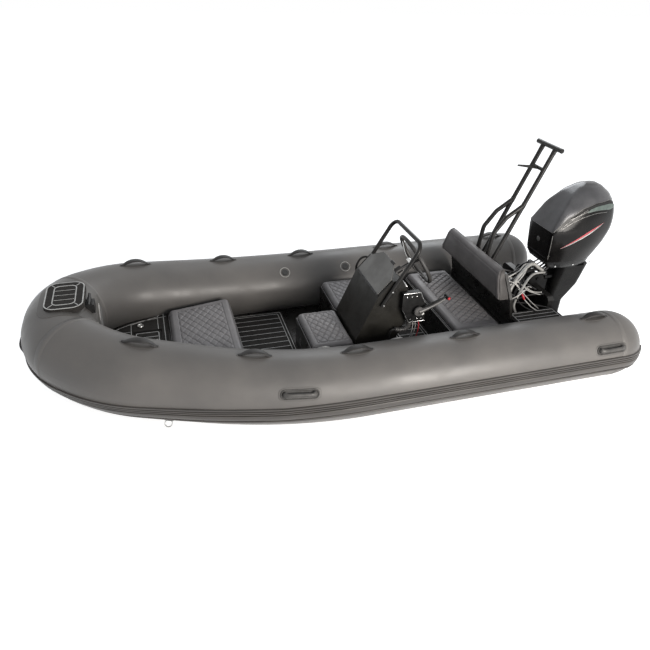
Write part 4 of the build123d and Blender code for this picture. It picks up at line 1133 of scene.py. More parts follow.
LATCH = ((0.016, -0.004), (0.016, 0.003), (0.013, 0.005), (0.006, 0.0055), (0.001, 0.0055))
latches = [turned(stood((-1.142, y, 0.50), 78, "Y"), LATCH, 24) for y in (-0.3, 0.3)]
add_piece("backrest_latches", latches, stainless, "boat")

# ------------------------------------------------------------------ helm console
# One satin black moulding bolted to the deck liner, with a lightly pebbled skin and softer moulded edges.
# A strip of rubber beds the windscreen, and a short grab handle is bolted to its starboard side.
console_moulding = new_material("console_moulding", (0.013, 0.0122, 0.0105), 0.42, Specular_IOR_Level=0.2,
                                mottle=((0.009, 0.0084, 0.0072), (0.021, 0.0198, 0.017), 5),
                                grain=(700, 0.15), scuffs=(14, 0.34, 0.52))
paint(console_moulding, "console")
black_tube = new_material("black_tube", (0.01, 0.0094, 0.009), 0.34, Specular_IOR_Level=0.25,
                          mottle=((0.007, 0.0066, 0.0063), (0.016, 0.015, 0.0142), 18), grain=(800, 0.06))
paint(black_tube, "console_rail", "tow_pole")


def smooth_route(points, per_leg=8):
    """Points on a smooth line through the given ones."""
    points = [Vector(point) for point in points]
    ends = [points[0] * 2 - points[1], *points, points[-1] * 2 - points[-2]]
    made = []
    for index in range(1, len(ends) - 2):
        a, b, c, d = ends[index - 1:index + 3]
        for step in range(per_leg):
            t = step / per_leg
            made.append(0.5 * (2 * b + (c - a) * t + (2 * a - 5 * b + 4 * c - d) * t * t
                               + (3 * b - a - 3 * c + d) * t ** 3))
    return made + [points[-1]]


handle = smooth_route([(-0.165, -0.027, 0.615), (-0.150, -0.055, 0.630), (-0.150, -0.062, 0.680),
                       (-0.178, -0.062, 0.728), (-0.222, -0.058, 0.738), (-0.245, -0.027, 0.712)])
add_piece("console_side_handle", rod_form(handle, 0.008, 12), black_tube, "boat")
# bolts through the feet of the console's hoop rail, which leans aft by HOOP_LEAN from its foot to its top
HOOP_BOLT = ((0.0055, 0.02), (0.0055, 0.031), (0.004, 0.0325), (0.001, 0.0325))
HOOP_FOOT, HOOP_TOP, HOOP_X, HOOP_LEAN = 0.7, 1.02, -0.222, 0.186
bolts = []
for z in (0.615, 0.71):
    lean = (z - HOOP_FOOT) / (HOOP_TOP - HOOP_FOOT)
    for y, side in ((-0.03, -1), (0.405, 1)):
        bolts.append(turned(stood((HOOP_X - HOOP_LEAN * lean, y, z), -90 * side, "X"), HOOP_BOLT, 16))
add_piece("hoop_bolts", bolts, stainless, "boat")


def face_frame(low, high, y, aft=True):
    """Frame on a sloping console face: y up the face, z out of it, from its lower line."""
    rise = Vector((high[0] - low[0], 0, high[1] - low[1])).normalized()
    out = Vector((-rise.z, 0, rise.x)) if aft else Vector((rise.z, 0, -rise.x))
    return frame_of((low[0], y, low[1]), rise.cross(out), rise, out)


def framed(place, form):
    return [place @ Vector(point) for point in form[0]], form[1]


def plate(x0, x1, y0, y1, z0, z1, round_by=0.0, ease=0.001):
    """Flat plate with rounded plan corners and an eased upper edge."""
    rows = []
    for inset, z in ((0, z0), (0, z1 - ease), (ease, z1)):
        plan = box_plan(x0 + inset, x1 - inset, y0 + inset, y1 - inset)
        rows.append([Vector((x, y, z)) for x, y in (rounded_plan(plan, round_by, 5) if round_by else plan)])
    return solid_of(rows)


# the smoked acrylic's colour is set lighter than its smoked tint, as a painted reflection on the screen
smoked_acrylic = new_material("smoked_acrylic", (0.17, 0.163, 0.15), 0.24, Transmission_Weight=0.2, IOR=1.49,
                              mottle=((0.12, 0.115, 0.105), (0.23, 0.222, 0.208), 6), grain=(60, 0.05))
paint(smoked_acrylic, "windscreen")
screen = face_frame((-0.140, 0.670), (-0.235, 0.775), 0.1875, aft=False)
strip = [framed(screen, plate(-0.2, 0.2, -0.004, 0.010, z0, z1, 0.003))
         for z0, z1 in ((0.0, 0.0004), (0.0056, 0.0085))]
port = 1 if (screen.to_3x3() @ Vector((1, 0, 0))).y > 0 else -1
clip = plate(*sorted((port * 0.045, port * 0.098)), 0.212, 0.231, -0.003, 0.0095, 0.003)
add_piece("windscreen_trim", strip + [framed(screen, clip)], fitting_black, "boat")
SCREW = ((0.005, -0.001), (0.005, 0.0015), (0.001, 0.002))
screws = [turned(screen @ Matrix.Translation((x, 0.003, 0.0085)), SCREW, 14)
          for x in (-0.17, -0.085, 0, 0.085, 0.17)]
add_piece("windscreen_screws", screws, fitting_black, "boat")

# ------------------------------------------------------------------ stern seat edging
# A thin pale extrusion of plastic along the front edge of the stern seat's lid.
# It is screwed to the lid and lifts with it.
edging_pale = new_material("edging_pale", (0.42, 0.41, 0.39), 0.4,
                           mottle=((0.36, 0.35, 0.33), (0.47, 0.46, 0.44), 60), grain=(700, 0.08))
edge = [(-0.7392, y * 0.01, LID_TOP - 0.006) for y in range(-44, 45, 4)]
add_piece("stern_seat_edging", rod_form(edge, 0.0032, 10), edging_pale, "stern_lid")

# ------------------------------------------------------------------ dash, gauges and switches
# Two round gauges with bright bezels, white ticks and red needles, and two rows of rocker switches.
# They are clamped into a black moulded plate that is screwed to the sloping dash.
dash = face_frame((-0.420, 0.585), (-0.300, 0.775), 0.1875)
bright_trim = new_material("bright_trim", (0.6, 0.6, 0.6), 0.25, Metallic=1.0)
add_scuffs(bright_trim, 80, 0.18, 0.34)
add_grain(bright_trim, 900, 0.02)
dial_face = new_material("dial_face", (0.02, 0.02, 0.022), 0.5, grain=(2000, 0.03))
dial_white = new_material("dial_white", (0.7, 0.7, 0.68), 0.5,
                          mottle=((0.62, 0.62, 0.6), (0.74, 0.74, 0.72), 200))
signal_red = new_material("signal_red", (0.5, 0.03, 0.04), 0.35,
                          mottle=((0.42, 0.02, 0.03), (0.56, 0.04, 0.05), 90))
BEZEL = ((0.0345, -0.006), (0.0345, 0.003), (0.0325, 0.0052), (0.030, 0.0045), (0.029, 0.001),
         (0.001, 0.0006))
DIAL = ((0.0288, 0.0004), (0.0288, 0.0012), (0.001, 0.0014))
TICKS, FIRST_TICK, TICK_TURN = 11, 225, 27
bezels, dials, ticks, needles = [], [], [], []
for side, needle_turn in ((-1, 150), (1, 200)):
    place = dash @ Matrix.Translation((side * 0.125, 0.11, 0.0113))
    bezels.append(turned(place, BEZEL))
    dials.append(turned(place, DIAL))
    for step in range(TICKS):
        turn = math.radians(FIRST_TICK - TICK_TURN * step)
        mark = place @ Matrix.Rotation(turn, 4, "Z")
        ticks.append(framed(mark, plate(0.021, 0.027, -0.0006, 0.0006, 0.0012, 0.0019)))
    needle = place @ Matrix.Rotation(math.radians(needle_turn), 4, "Z")
    needles.append(framed(needle, plate(-0.004, 0.022, -0.0007, 0.0007, 0.0022, 0.003)))
add_piece("gauge_bezels", bezels, bright_trim, "boat")
add_piece("gauge_dials", dials, dial_face, "boat")
add_piece("gauge_ticks", ticks, dial_white, "boat")
add_piece("gauge_needles", needles, signal_red, "boat")
rockers, lamps = [], []
for x in (-0.172, -0.146, -0.120, 0.120, 0.146, 0.172):
    rockers.append(framed(dash, plate(x - 0.010, x + 0.010, 0.022, 0.054, 0.0035, 0.0085, 0.002, 0.0015)))
    rockers.append(framed(dash @ stood((x, 0.038, 0.008), 9, "X"),
                          plate(-0.0075, 0.0075, -0.0125, 0.0125, -0.002, 0.004, 0.0015, 0.001)))
    lamps.append(framed(dash, plate(x - 0.0035, x + 0.0035, 0.0465, 0.0485, 0.010, 0.0132)))
add_piece("dash_switches", rockers, fitting_black, "boat")
add_piece("dash_switch_marks", lamps, dial_white, "boat")

# ------------------------------------------------------------------ steering wheel
# Three polished stainless spokes on a cast hub, which is held to the helm shaft under a plastic cap.
# The rim is moulded round them in soft black rubber with finger ridges.
WHEEL_TILT = math.radians(30)
wheel_z = Vector((-math.cos(WHEEL_TILT), 0, math.sin(WHEEL_TILT)))
wheel_x = Vector((0, 1, 0))
wheel_place = frame_of((-0.485, 0.19, 0.81), wheel_x, wheel_z.cross(wheel_x), wheel_z)
wheel_grip = new_material("wheel_grip", (0.028, 0.027, 0.026), 0.5,
                          mottle=((0.022, 0.021, 0.02), (0.04, 0.038, 0.036), 30), grain=(1600, 0.12))
WHEEL_R, RIM_R = 0.18, 0.0136
RIM_STEPS, RIDGES, RIDGE_RISE = 120, 30, 0.0008
rows = []
for step, (x, y) in enumerate(circle(RIM_STEPS)):
    ridge = RIDGE_RISE * math.cos(math.tau * step / RIM_STEPS * RIDGES)
    row = []
    for u, v in circle(14):
        thick = RIM_R + ridge * max(0, -u * 0.3 - v)
        reach = WHEEL_R + thick * u
        row.append(wheel_place @ Vector((reach * x, reach * y, thick * v)))
    rows.append(row)
rim = add_piece("wheel_rim", sheet_of(rows + rows[:1], loop=True), wheel_grip, "helm_wheel",
                sharp=70)
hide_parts("steering_wheel")
# reach from the centre, drop behind the rim, half width and half thickness of a spoke
SPOKE = ((0.02, -0.044, 0.019, 0.0035), (0.06, -0.041, 0.014, 0.0032), (0.11, -0.026, 0.0105, 0.0028),
         (0.15, -0.010, 0.010, 0.0026), (0.176, -0.001, 0.013, 0.0026))
HUB = ((0.032, -0.058), (0.033, -0.052), (0.033, -0.036), (0.030, -0.032), (0.024, -0.0305))
HUB_CAP = ((0.0238, -0.031), (0.0235, -0.028), (0.019, -0.0262), (0.010, -0.0255), (0.001, -0.0253))
spokes = []
for x, y in circle(3, 1.0, 0.75):
    outward, across = Vector((x, y, 0)), Vector((-y, x, 0))
    spokes.append(solid_of([[wheel_place @ (outward * reach + across * wide * u + UP * (drop + thick * v))
                             for u, v in circle(12)] for reach, drop, wide, thick in SPOKE]))
spokes.append(turned(wheel_place, HUB, 32))
add_piece("wheel_spokes", spokes, stainless, "helm_wheel")
add_piece("wheel_hub_cap", turned(wheel_place, HUB_CAP, 32), fitting_black, "helm_wheel")

# ------------------------------------------------------------------ throttle and shift control
# A die-cast box on the console's port side, edged with bright strips, with a long curved lever.
# Its cables leave through a ribbed boot, and its wires are clipped to the console's foot.
BOX_FACE = 0.4473
throttle_black = new_material("throttle_black", (0.008, 0.008, 0.008), 0.4, Specular_IOR_Level=0.15,
                              mottle=((0.006, 0.006, 0.006), (0.014, 0.014, 0.014), 30), grain=(900, 0.1))
paint(throttle_black, "throttle_control")
lever_grey = new_material("lever_grey", (0.07, 0.068, 0.066), 0.38,
                          mottle=((0.055, 0.053, 0.052), (0.09, 0.087, 0.085), 40), grain=(900, 0.08))
STUD = ((0.0042, -0.001), (0.0042, 0.0012), (0.003, 0.002), (0.001, 0.002))
strips = []
for path in (((-0.302, 0.693), (-0.424, 0.693), (-0.463, 0.612)),
             ((-0.475, 0.470), (-0.358, 0.470), (-0.304, 0.575))):
    strips.append(rod_form([(x, BOX_FACE + 0.0008, z) for x, z in path], 0.002, 8))
for x, z in ((-0.33, 0.665), (-0.365, 0.665), (-0.40, 0.665), (-0.45, 0.49), (-0.42, 0.49), (-0.37, 0.49)):
    strips.append(turned(stood((x, BOX_FACE, z), -90, "X"), STUD, 14))
add_piece("throttle_trim", strips, bright_trim, "boat")
lever_path = smooth_route([(-0.415, 0.4725, 0.56), (-0.47, 0.4735, 0.578), (-0.54, 0.4725, 0.606),
                           (-0.60, 0.471, 0.637)])
swell = [0.019 - 0.0085 * min(1, index / (len(lever_path) * 0.45)) for index in range(len(lever_path))]
LEVER_HUB = ((0.0345, 0), (0.0345, 0.008), (0.031, 0.013), (0.012, 0.0145), (0.001, 0.0145))
lever = [rod_form(lever_path, swell, 14), turned(stood((-0.415, 0.465, 0.56), -90, "X"), LEVER_HUB)]
add_piece("throttle_lever", lever, lever_grey, "boat")
BUTTON = ((0.0095, -0.002), (0.0095, 0.003), (0.007, 0.0055), (0.001, 0.006))
add_piece("throttle_button", turned(stood((-0.618, 0.4873, 0.644), -90, "X"), BUTTON, 20),
          signal_red, "boat")
boot_path = smooth_route([(-0.372, 0.430, 0.468), (-0.368, 0.432, 0.435), (-0.345, 0.434, 0.412),
                          (-0.310, 0.434, 0.408), (-0.272, 0.432, 0.418)], 12)
ribs = [0.0165 + 0.0045 * (index % 6 < 3) - 0.004 * index / len(boot_path) for index in range(len(boot_path))]
add_piece("throttle_cable_boot", rod_form(boot_path, ribs, 18), lever_grey, "boat", sharp=25)
wire_white = new_material("wire_white", (0.5, 0.49, 0.47), 0.5,
                          mottle=((0.42, 0.41, 0.39), (0.58, 0.57, 0.55), 90))
# colour, radius, route
WIRES = (
    ("white", 0.0026, ((-0.400, 0.43, 0.468), (-0.402, 0.436, 0.42), (-0.392, 0.44, 0.36),
                       (-0.38, 0.425, 0.25), (-0.37, 0.411, 0.12))),
    ("white", 0.0022, ((-0.412, 0.43, 0.468), (-0.420, 0.44, 0.42), (-0.405, 0.44, 0.35),
                       (-0.39, 0.425, 0.24), (-0.38, 0.411, 0.12))),
    ("red", 0.0034, ((-0.438, 0.43, 0.468), (-0.446, 0.437, 0.43), (-0.440, 0.44, 0.36), (-0.42, 0.43, 0.25),
                     (-0.395, 0.413, 0.12))),
    ("black", 0.006, ((-0.272, 0.432, 0.418), (-0.245, 0.431, 0.405), (-0.235, 0.43, 0.33),
                      (-0.245, 0.42, 0.2), (-0.25, 0.414, 0.12))),
)
for colour, material in (("white", wire_white), ("red", signal_red), ("black", fitting_black)):
    forms = [rod_form(smooth_route(path), radius, 8) for kind, radius, path in WIRES if kind == colour]
    add_piece("throttle_wires_" + colour, together(forms), material, "boat")
tag = stood((-0.452, 0.4545, 0.535), -90, "X") @ Matrix.Rotation(math.radians(28), 4, "Z")
blank = plate(-0.009, 0.009, -0.0165, 0.0165, -0.0005, 0.0006, 0.002, 0.0003)
add_piece("throttle_blank_tag", framed(tag, blank), dial_white, "boat")

# ------------------------------------------------------------------ tow pole fittings
# Powder coated with the pole: end caps welded into the cross bar, sleeves over the joints of the legs,
# and the bolt heads that fix the pole's feet to the bulkhead.
POLE_TOP, POLE_FOOT = (-1.507, 1.49), (-1.157, 0.615)
END_CAP = ((0.0164, 0), (0.0168, 0.002), (0.0164, 0.006), (0.0145, 0.0078), (0.001, 0.008))
POLE_BOLT = ((0.008, -0.002), (0.008, 0.004), (0.0065, 0.006), (0.001, 0.006))
caps = []
for side in (1, -1):
    caps.append(turned(stood((POLE_TOP[0], side * 0.134, POLE_TOP[1]), -90 * side, "X"), END_CAP, 28))
    top, foot = (Vector((x, side * 0.07, z)) for x, z in (POLE_TOP, POLE_FOOT))
    heading = (top - foot).normalized()
    for share, radius in ((0.54, 0.0174), (0.975, 0.0172)):
        middle = foot.lerp(top, share)
        caps.append(rod_form([middle + heading * reach for reach in (-0.02, -0.017, 0.017, 0.02)],
                             [0.0162, radius, radius, 0.0162], 20))
for y in (-0.085, 0.085):
    for z in (0.58, 0.67):
        caps.append(turned(stood((-1.1978 + (z - 0.35) * 0.2097 + 0.0008, y, z), -78, "Y"), POLE_BOLT, 6))
add_piece("tow_pole_fittings", caps, black_tube, "boat")

# ------------------------------------------------------------------ outboard cowl
# Two mouldings clipped together: a gloss black tray with tall side panels, and a grey metallic top
# that runs from the front panel's upper edge over to the stern. A grey bead marks their joint.

# height, front x, aft x, half width of the front, widest half width
COWL_TABLE = (
    (0.6385, -1.622, -2.082, 0.138, 0.160),
    (0.700, -1.616, -2.118, 0.142, 0.171),
    (0.780, -1.610, -2.160, 0.146, 0.182),
    (0.885, -1.600, -2.190, 0.150, 0.188),
    (1.020, -1.668, -2.172, 0.120, 0.178),
    (1.125, -1.750, -2.105, 0.072, 0.140),
    (1.180, -1.830, -2.035, 0.036, 0.088),
    (1.203, -1.890, -1.985, 0.010, 0.034),
)


def cowl_sizes(z):
    """Front x, aft x, half width of the front and widest half width of the cowl at a height."""
    z = max(COWL_TABLE[0][0], min(COWL_TABLE[-1][0], z))
    index = max(number for number in range(len(COWL_TABLE) - 1) if COWL_TABLE[number][0] <= z)
    low, high = COWL_TABLE[index], COWL_TABLE[index + 1]
    span = high[0] - low[0]
    share = (z - low[0]) / span
    before = COWL_TABLE[max(index - 1, 0)]
    after = COWL_TABLE[min(index + 2, len(COWL_TABLE) - 1)]
    sizes = []
    for column in range(1, 5):
        into = (high[column] - before[column]) / max(high[0] - before[0], 1e-6) * span * 0.8
        out = (after[column] - low[column]) / max(after[0] - low[0], 1e-6) * span * 0.8
        # the front panel is flat up to its upper edge, and the top starts there at an angle
        if column in (1, 3) and index in (2, 3):
            into = high[column] - low[column]
            out = into if index == 2 else out
        square, cube = share * share, share ** 3
        sizes.append((2 * cube - 3 * square + 1) * low[column] + (cube - 2 * square + share) * into
                     + (3 * square - 2 * cube) * high[column] + (cube - square) * out)
    return sizes


def arc_through(first, middle, last, steps):
    """Points on the arc through three points in plan, without its last."""
    (ax, ay), (bx, by), (cx, cy) = first, middle, last
    d = 2 * (ax * (by - cy) + bx * (cy - ay) + cx * (ay - by))
    if abs(d) < 1e-9:
        return [(ax + (cx - ax) * step / steps, ay + (cy - ay) * step / steps) for step in range(steps)]
    a, b, c = ax * ax + ay * ay, bx * bx + by * by, cx * cx + cy * cy
    ux = (a * (by - cy) + b * (cy - ay) + c * (ay - by)) / d
    uy = (a * (cx - bx) + b * (ax - cx) + c * (bx - ax)) / d
    start, end = math.atan2(ay - uy, ax - ux), math.atan2(cy - uy, cx - ux)
    through = math.atan2(by - uy, bx - ux)
    sweep = (end - start) % math.tau
    if (through - start) % math.tau > sweep:
        sweep -= math.tau
    radius = math.hypot(ax - ux, ay - uy)
    turns = [start + sweep * step / steps for step in range(steps)]
    return [(ux + radius * math.cos(turn), uy + radius * math.sin(turn)) for turn in turns]


FRONT_STEPS, SIDE_STEPS, STERN_STEPS = 5, 26, 14


def cowl_plan(z):
    """Port half of the cowl's plan at a height, from the middle of its front to the middle of its stern."""
    front, aft, front_half, half = cowl_sizes(z)
    length = front - aft
    widest, turn_x, turn_y = front - length * 0.45, front - length * 0.8, half * 0.8
    ease = min(0.012, front_half * 0.4)
    plan = [(front, (front_half - ease) * step / FRONT_STEPS) for step in range(FRONT_STEPS)]
    plan.append((front, front_half - ease))
    side = arc_through((front, front_half), (widest, half), (turn_x, turn_y), SIDE_STEPS)
    plan.append((front - ease * 0.25, front_half - ease * 0.12))
    plan += side[1:]
    plan += arc_through((turn_x, turn_y), (aft, 0), (turn_x, -turn_y), STERN_STEPS * 2)[:STERN_STEPS + 1]
    return plan


# x and height of the joint between the side panels and the top
JOINT = ((-1.60, 0.885), (-1.64, 0.93), (-1.70, 0.992), (-1.80, 1.060), (-1.91, 1.098), (-2.03, 1.105),
         (-2.2, 1.085))


def joint_height(x):
    for (x0, z0), (x1, z1) in zip(JOINT, JOINT[1:]):
        if x >= x1:
            return z0 + (z1 - z0) * max(0.0, (x - x0) / (x1 - x0))
    return JOINT[-1][1]


# height of the joint at each place around, found by halving where the skin and the joint line meet
AROUND = len(cowl_plan(0.8))
JOINT_LOW, JOINT_HIGH, HALVINGS = JOINT[0][1], 1.15, 30
joint_line = []
for index in range(AROUND):
    z, low, high = JOINT_LOW, JOINT_LOW, JOINT_HIGH
    if index > FRONT_STEPS:
        for _ in range(HALVINGS):
            z = (low + high) / 2
            if z < joint_height(cowl_plan(z)[index][0]):
                low = z
            else:
                high = z
    joint_line.append(z)


def both_sides(port_row):
    """Closed ring from its port half, which starts and ends on the middle."""
    return port_row + [mirrored(point) for point in port_row[-2:0:-1]]


def cowl_shell(heights, out=0.0):
    """Rows round the whole cowl: heights gives the height of each row at a place around."""
    rows = []
    for height in heights:
        port_row = []
        for index in range(AROUND):
            z = height(index)
            plan = cowl_plan(z)
            x, y = plan[index]
            before, after = plan[max(index - 1, 0)], plan[min(index + 1, AROUND - 1)]
            normal = Vector((after[1] - before[1], before[0] - after[0], 0)).normalized()
            if index in (0, AROUND - 1):
                normal = Vector((-1 if index else 1, 0, 0))
            port_row.append(Vector((x, y, z)) + normal * out)
        rows.append(both_sides(port_row))
    return rows


cowl_gloss = new_material("cowl_gloss", (0.006, 0.006, 0.006), 0.12, Specular_IOR_Level=0.16,
                          mottle=((0.004, 0.004, 0.004), (0.012, 0.011, 0.011), 5), grain=(40, 0.02),
                          scuffs=(8, 0.12, 0.26))
cowl_grey = new_material("cowl_grey", (0.066, 0.066, 0.07), 0.26, Metallic=0.35, Coat_Weight=0.1,
                         Coat_Roughness=0.08,
                         mottle=((0.048, 0.048, 0.051), (0.09, 0.09, 0.096), 6), grain=(2500, 0.015))
LOWEST, TOP = COWL_TABLE[0][0], COWL_TABLE[-1][0]
TRAY_STEPS, TOP_STEPS = 14, 18


def under_joint(drop):
    return lambda index: joint_line[index] - drop


def tray_height(share):
    return lambda index: LOWEST + (joint_line[index] - 0.0035 - LOWEST) * share


def top_height(share):
    rise = 1 - (1 - share) ** 1.7
    return lambda index: joint_line[index] + 0.0005 + (TOP - joint_line[index] - 0.0005) * rise


tray_rows = cowl_shell([tray_height(step / TRAY_STEPS) for step in range(TRAY_STEPS + 1)])
tray_rows += cowl_shell([under_joint(0.0035), under_joint(0.006)], -0.006)
tray = add_piece("cowl_tray", sheet_of(tray_rows, loop=True), cowl_gloss, "engine", sharp=50)
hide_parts("cowl")
top_rows = cowl_shell([under_joint(0.004)], -0.004)
top_rows += cowl_shell([top_height(step / TOP_STEPS) for step in range(TOP_STEPS + 1)], 0.0015)
add_piece("cowl_top", solid_of(top_rows), cowl_grey, "engine", sharp=55)
bead = both_sides([Vector((*cowl_plan(z - 0.002)[index], z - 0.002)) for index, z in enumerate(joint_line)])
add_piece("cowl_joint_bead", rod_form(bead, 0.0028, 8, closed=True), lever_grey, "engine")


def cowl_side(x, z, out=0.0, side=1):
    """Point on the cowl's side skin."""
    plan = cowl_plan(z)[FRONT_STEPS + 1:]
    for (x0, y0), (x1, y1) in zip(plan, plan[1:]):
        if x1 <= x <= x0:
            share = (x0 - x) / max(x0 - x1, 1e-9)
            normal = Vector((y1 - y0, x0 - x1, 0)).normalized()
            return mirrored(Vector((x, y0 + (y1 - y0) * share, z)) + normal * out, side)
    return Vector((max(x, plan[-1][0]), 0, z))


def skin_mark(upper, lower, out, side):
    """Thin patch on the cowl's side between two lines of (x, z) points."""
    rows = []
    for (xa, za), (xb, zb) in zip(upper, lower):
        rows.append([cowl_side(xa + (xb - xa) * step / 5, za + (zb - za) * step / 5, out, side)
                     for step in range(6)])
    return sheet_of(rows)


def eased_line(points):
    return [(point.x, point.z) for point in smooth_route([(x, 0, z) for x, z in points], 10)]


# a plain sweep of red over pale grey on each side panel
stripe_red = new_material("stripe_red", (0.42, 0.03, 0.045), 0.25, Coat_Weight=0.6,
                          mottle=((0.36, 0.02, 0.035), (0.47, 0.04, 0.055), 50))
stripe_pale = new_material("stripe_pale", (0.5, 0.5, 0.49), 0.25, Coat_Weight=0.6,
                           mottle=((0.44, 0.44, 0.43), (0.55, 0.55, 0.54), 50))
red_upper = eased_line(((-1.688, 0.762), (-1.80, 0.838), (-1.90, 0.898), (-2.014, 0.946)))
red_lower = eased_line(((-1.688, 0.761), (-1.80, 0.825), (-1.90, 0.881), (-2.014, 0.945)))
pale_lower = eased_line(((-1.688, 0.758), (-1.80, 0.815), (-1.90, 0.869), (-2.014, 0.942)))
pale_upper = [(x, z - 0.002) for x, z in red_lower]
for name, upper, lower, material in (("cowl_stripe_red", red_upper, red_lower, stripe_red),
                                     ("cowl_stripe_pale", pale_upper, pale_lower, stripe_pale)):
    marks = [skin_mark(upper, lower, 0.0008, side) for side in (1, -1)]
    add_piece(name, marks, material, "engine", sharp=80)

# air intakes under the joint: a dark slot with a pale lower edge and a grey-green grille at its aft end; the
# pale edge, like the lips and front corners, is a painted highlight
slot_upper = [(-1.715, 0.990), (-1.80, 1.048), (-1.90, 1.086), (-1.98, 1.093), (-2.06, 1.088),
              (-2.115, 1.078)]
slot_lower = [(-1.715, 0.982), (-1.80, 1.024), (-1.88, 1.052), (-1.97, 1.055), (-2.05, 1.046),
              (-2.105, 1.040)]
intake_dark = new_material("intake_dark", (0.006, 0.006, 0.006), 0.8, grain=(500, 0.2))
grille_green = new_material("grille_green", (0.085, 0.11, 0.1), 0.4,
                            mottle=((0.07, 0.092, 0.083), (0.105, 0.135, 0.122), 40))
# pale satin metal for painted highlights: along the lips, the slot's lower edge and the front corners
painted_highlight_edge = new_material("painted_highlight_edge", (0.22, 0.215, 0.21), 0.3, Metallic=0.6,
                          mottle=((0.17, 0.165, 0.16), (0.28, 0.275, 0.265), 40))
# sculpted lips: one sweeps from the front corner up to the slot, one runs below it to the stern; each is
# drawn as a pale rod, a painted highlight along the crease
LIPS = (((-1.652, 0.916), (-1.70, 0.958), (-1.76, 1.005), (-1.84, 1.052)),
        ((-1.66, 0.912), (-1.73, 0.960), (-1.82, 1.003), (-1.92, 1.026), (-2.02, 1.022)))
grille_upper = [(-1.86, 1.058), (-1.93, 1.076), (-2.03, 1.079), (-2.08, 1.070), (-2.118, 1.056)]
grille_lower = [(-1.835, 1.034), (-1.92, 1.046), (-2.00, 1.043), (-2.05, 1.038), (-2.116, 1.048)]


def skin_line(points, out, side):
    """Smooth line over the cowl's side through (x, z) points."""
    return [cowl_side(x, z, out, side) for x, z in eased_line(points)]


slots, grilles, edges = [], [], []
for side in (1, -1):
    edges += [rod_form(skin_line(lip, 0.0004, side), 0.0018, 8) for lip in LIPS]
    # down each front corner of the side panels, a pale rod of painted highlight
    corner = []
    for z in (0.66, 0.71, 0.76, 0.81, 0.86):
        front, _, front_half, _ = cowl_sizes(z)
        corner.append((front - 0.003, side * (front_half - 0.003), z))
    edges.append(rod_form(corner, 0.0032, 8))
    edges.append(rod_form(skin_line(slot_lower, 0.001, side), 0.0022, 8))
    slots.append(skin_mark(eased_line(slot_upper), eased_line(slot_lower), 0.0006, side))
    grilles.append(skin_mark(eased_line(grille_upper), eased_line(grille_lower), 0.0035, side))
add_piece("cowl_intakes", slots, intake_dark, "engine", sharp=80)
add_piece("cowl_intake_grilles", grilles, grille_green, "engine", sharp=80)
add_piece("cowl_painted_highlights", edges, painted_highlight_edge, "engine")

# a blank round boss and a raised frame on the front panel
BOSS = ((0.02, -0.004), (0.02, 0.001), (0.0185, 0.0024), (0.012, 0.003), (0.001, 0.0032))
add_piece("cowl_front_boss", turned(stood((-1.6105, -0.012, 0.775), 90, "Y"), BOSS, 40),
          lever_grey, "engine")
frame_path = [(-1.6115 - abs(z - 0.77) * 0.05, y, z)
              for y, z in rounded_plan(box_plan(-0.122, 0.122, 0.665, 0.868), 0.02, 6)]
add_piece("cowl_front_frame", rod_form(frame_path, 0.0022, 8, closed=True), cowl_gloss, "engine")

# ------------------------------------------------------------------ outboard lower parts
# Black painted castings: chaps, leg, gearcase and brackets, bolted together.
# Stainless bolts and clamp screws stay bright, and a bare zinc anode stands over the propeller.
engine_paint = new_material("engine_paint", (0.006, 0.006, 0.0063), 0.3, Specular_IOR_Level=0.12,
                            mottle=((0.004, 0.004, 0.0043), (0.009, 0.0088, 0.0086), 8), grain=(350, 0.08),
                            scuffs=(12, 0.2, 0.42))
paint(engine_paint, "clamp_bracket", "swivel_bracket", "steering_yoke", "drive_leg", "gearcase", "propeller",
      "cowl", "lower_cowl")
# height, front x, aft x and half width of the chaps under the tray
CHAPS = ((0.5603, -1.700, -2.067, 0.110), (0.600, -1.645, -2.070, 0.146), (0.630, -1.628, -2.077, 0.154),
         (0.6384, -1.624, -2.081, 0.158))
front_0, aft_0, _, half_0 = cowl_sizes(LOWEST)
rows = []
for z, front, aft, half in CHAPS:
    scale = (front - aft) / (front_0 - aft_0)
    rows.append(both_sides([Vector((front + (x - front_0) * scale, y * half / half_0, z))
                            for x, y in cowl_plan(LOWEST)]))
chaps = add_piece("cowl_chaps", solid_of(rows), engine_paint, "engine", sharp=28)
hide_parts("lower_cowl")
bare_metal = new_material("bare_metal", (0.35, 0.34, 0.33), 0.5, Metallic=0.8,
                          mottle=((0.3, 0.29, 0.28), (0.42, 0.41, 0.4), 30), grain=(400, 0.2))
paint(bare_metal, "powerhead")
CHAPS_BOLT = ((0.007, -0.002), (0.007, 0.002), (0.0055, 0.0035), (0.001, 0.0035))
bolts = []
for side in (1, -1):
    for x, y, z in ((-1.70, 0.1455, 0.60), (-1.86, 0.1455, 0.60), (-2.02, 0.136, 0.605)):
        bolts.append(turned(stood((x, side * y, z), -90 * side, "X"), CHAPS_BOLT, 6))
add_piece("engine_bolts", bolts, stainless, "engine")
CLAMP_SCREW = ((0.008, 0), (0.008, 0.045), (0.014, 0.046), (0.014, 0.056), (0.001, 0.057))
CLAMP_Y = 0.097
clamp_screws = []
for side in (1, -1):
    clamp_screws.append(turned(stood((-1.536, side * CLAMP_Y, 0.385), 90, "Y"), CLAMP_SCREW, 20))
    toggle = [(-1.485, side * CLAMP_Y + reach, z) for reach, z in ((-0.045, 0.375), (0.045, 0.395))]
    clamp_screws.append(rod_form(toggle, 0.0055, 12))
add_piece("clamp_screws", clamp_screws, stainless, "boat")
anode = plate(-0.035, 0.035, -0.012, 0.012, -0.028, 0.0, 0.006)
add_piece("gearcase_anode", framed(Matrix.Translation((-2.16, 0, -0.2365)), anode),
          bare_metal, "engine")

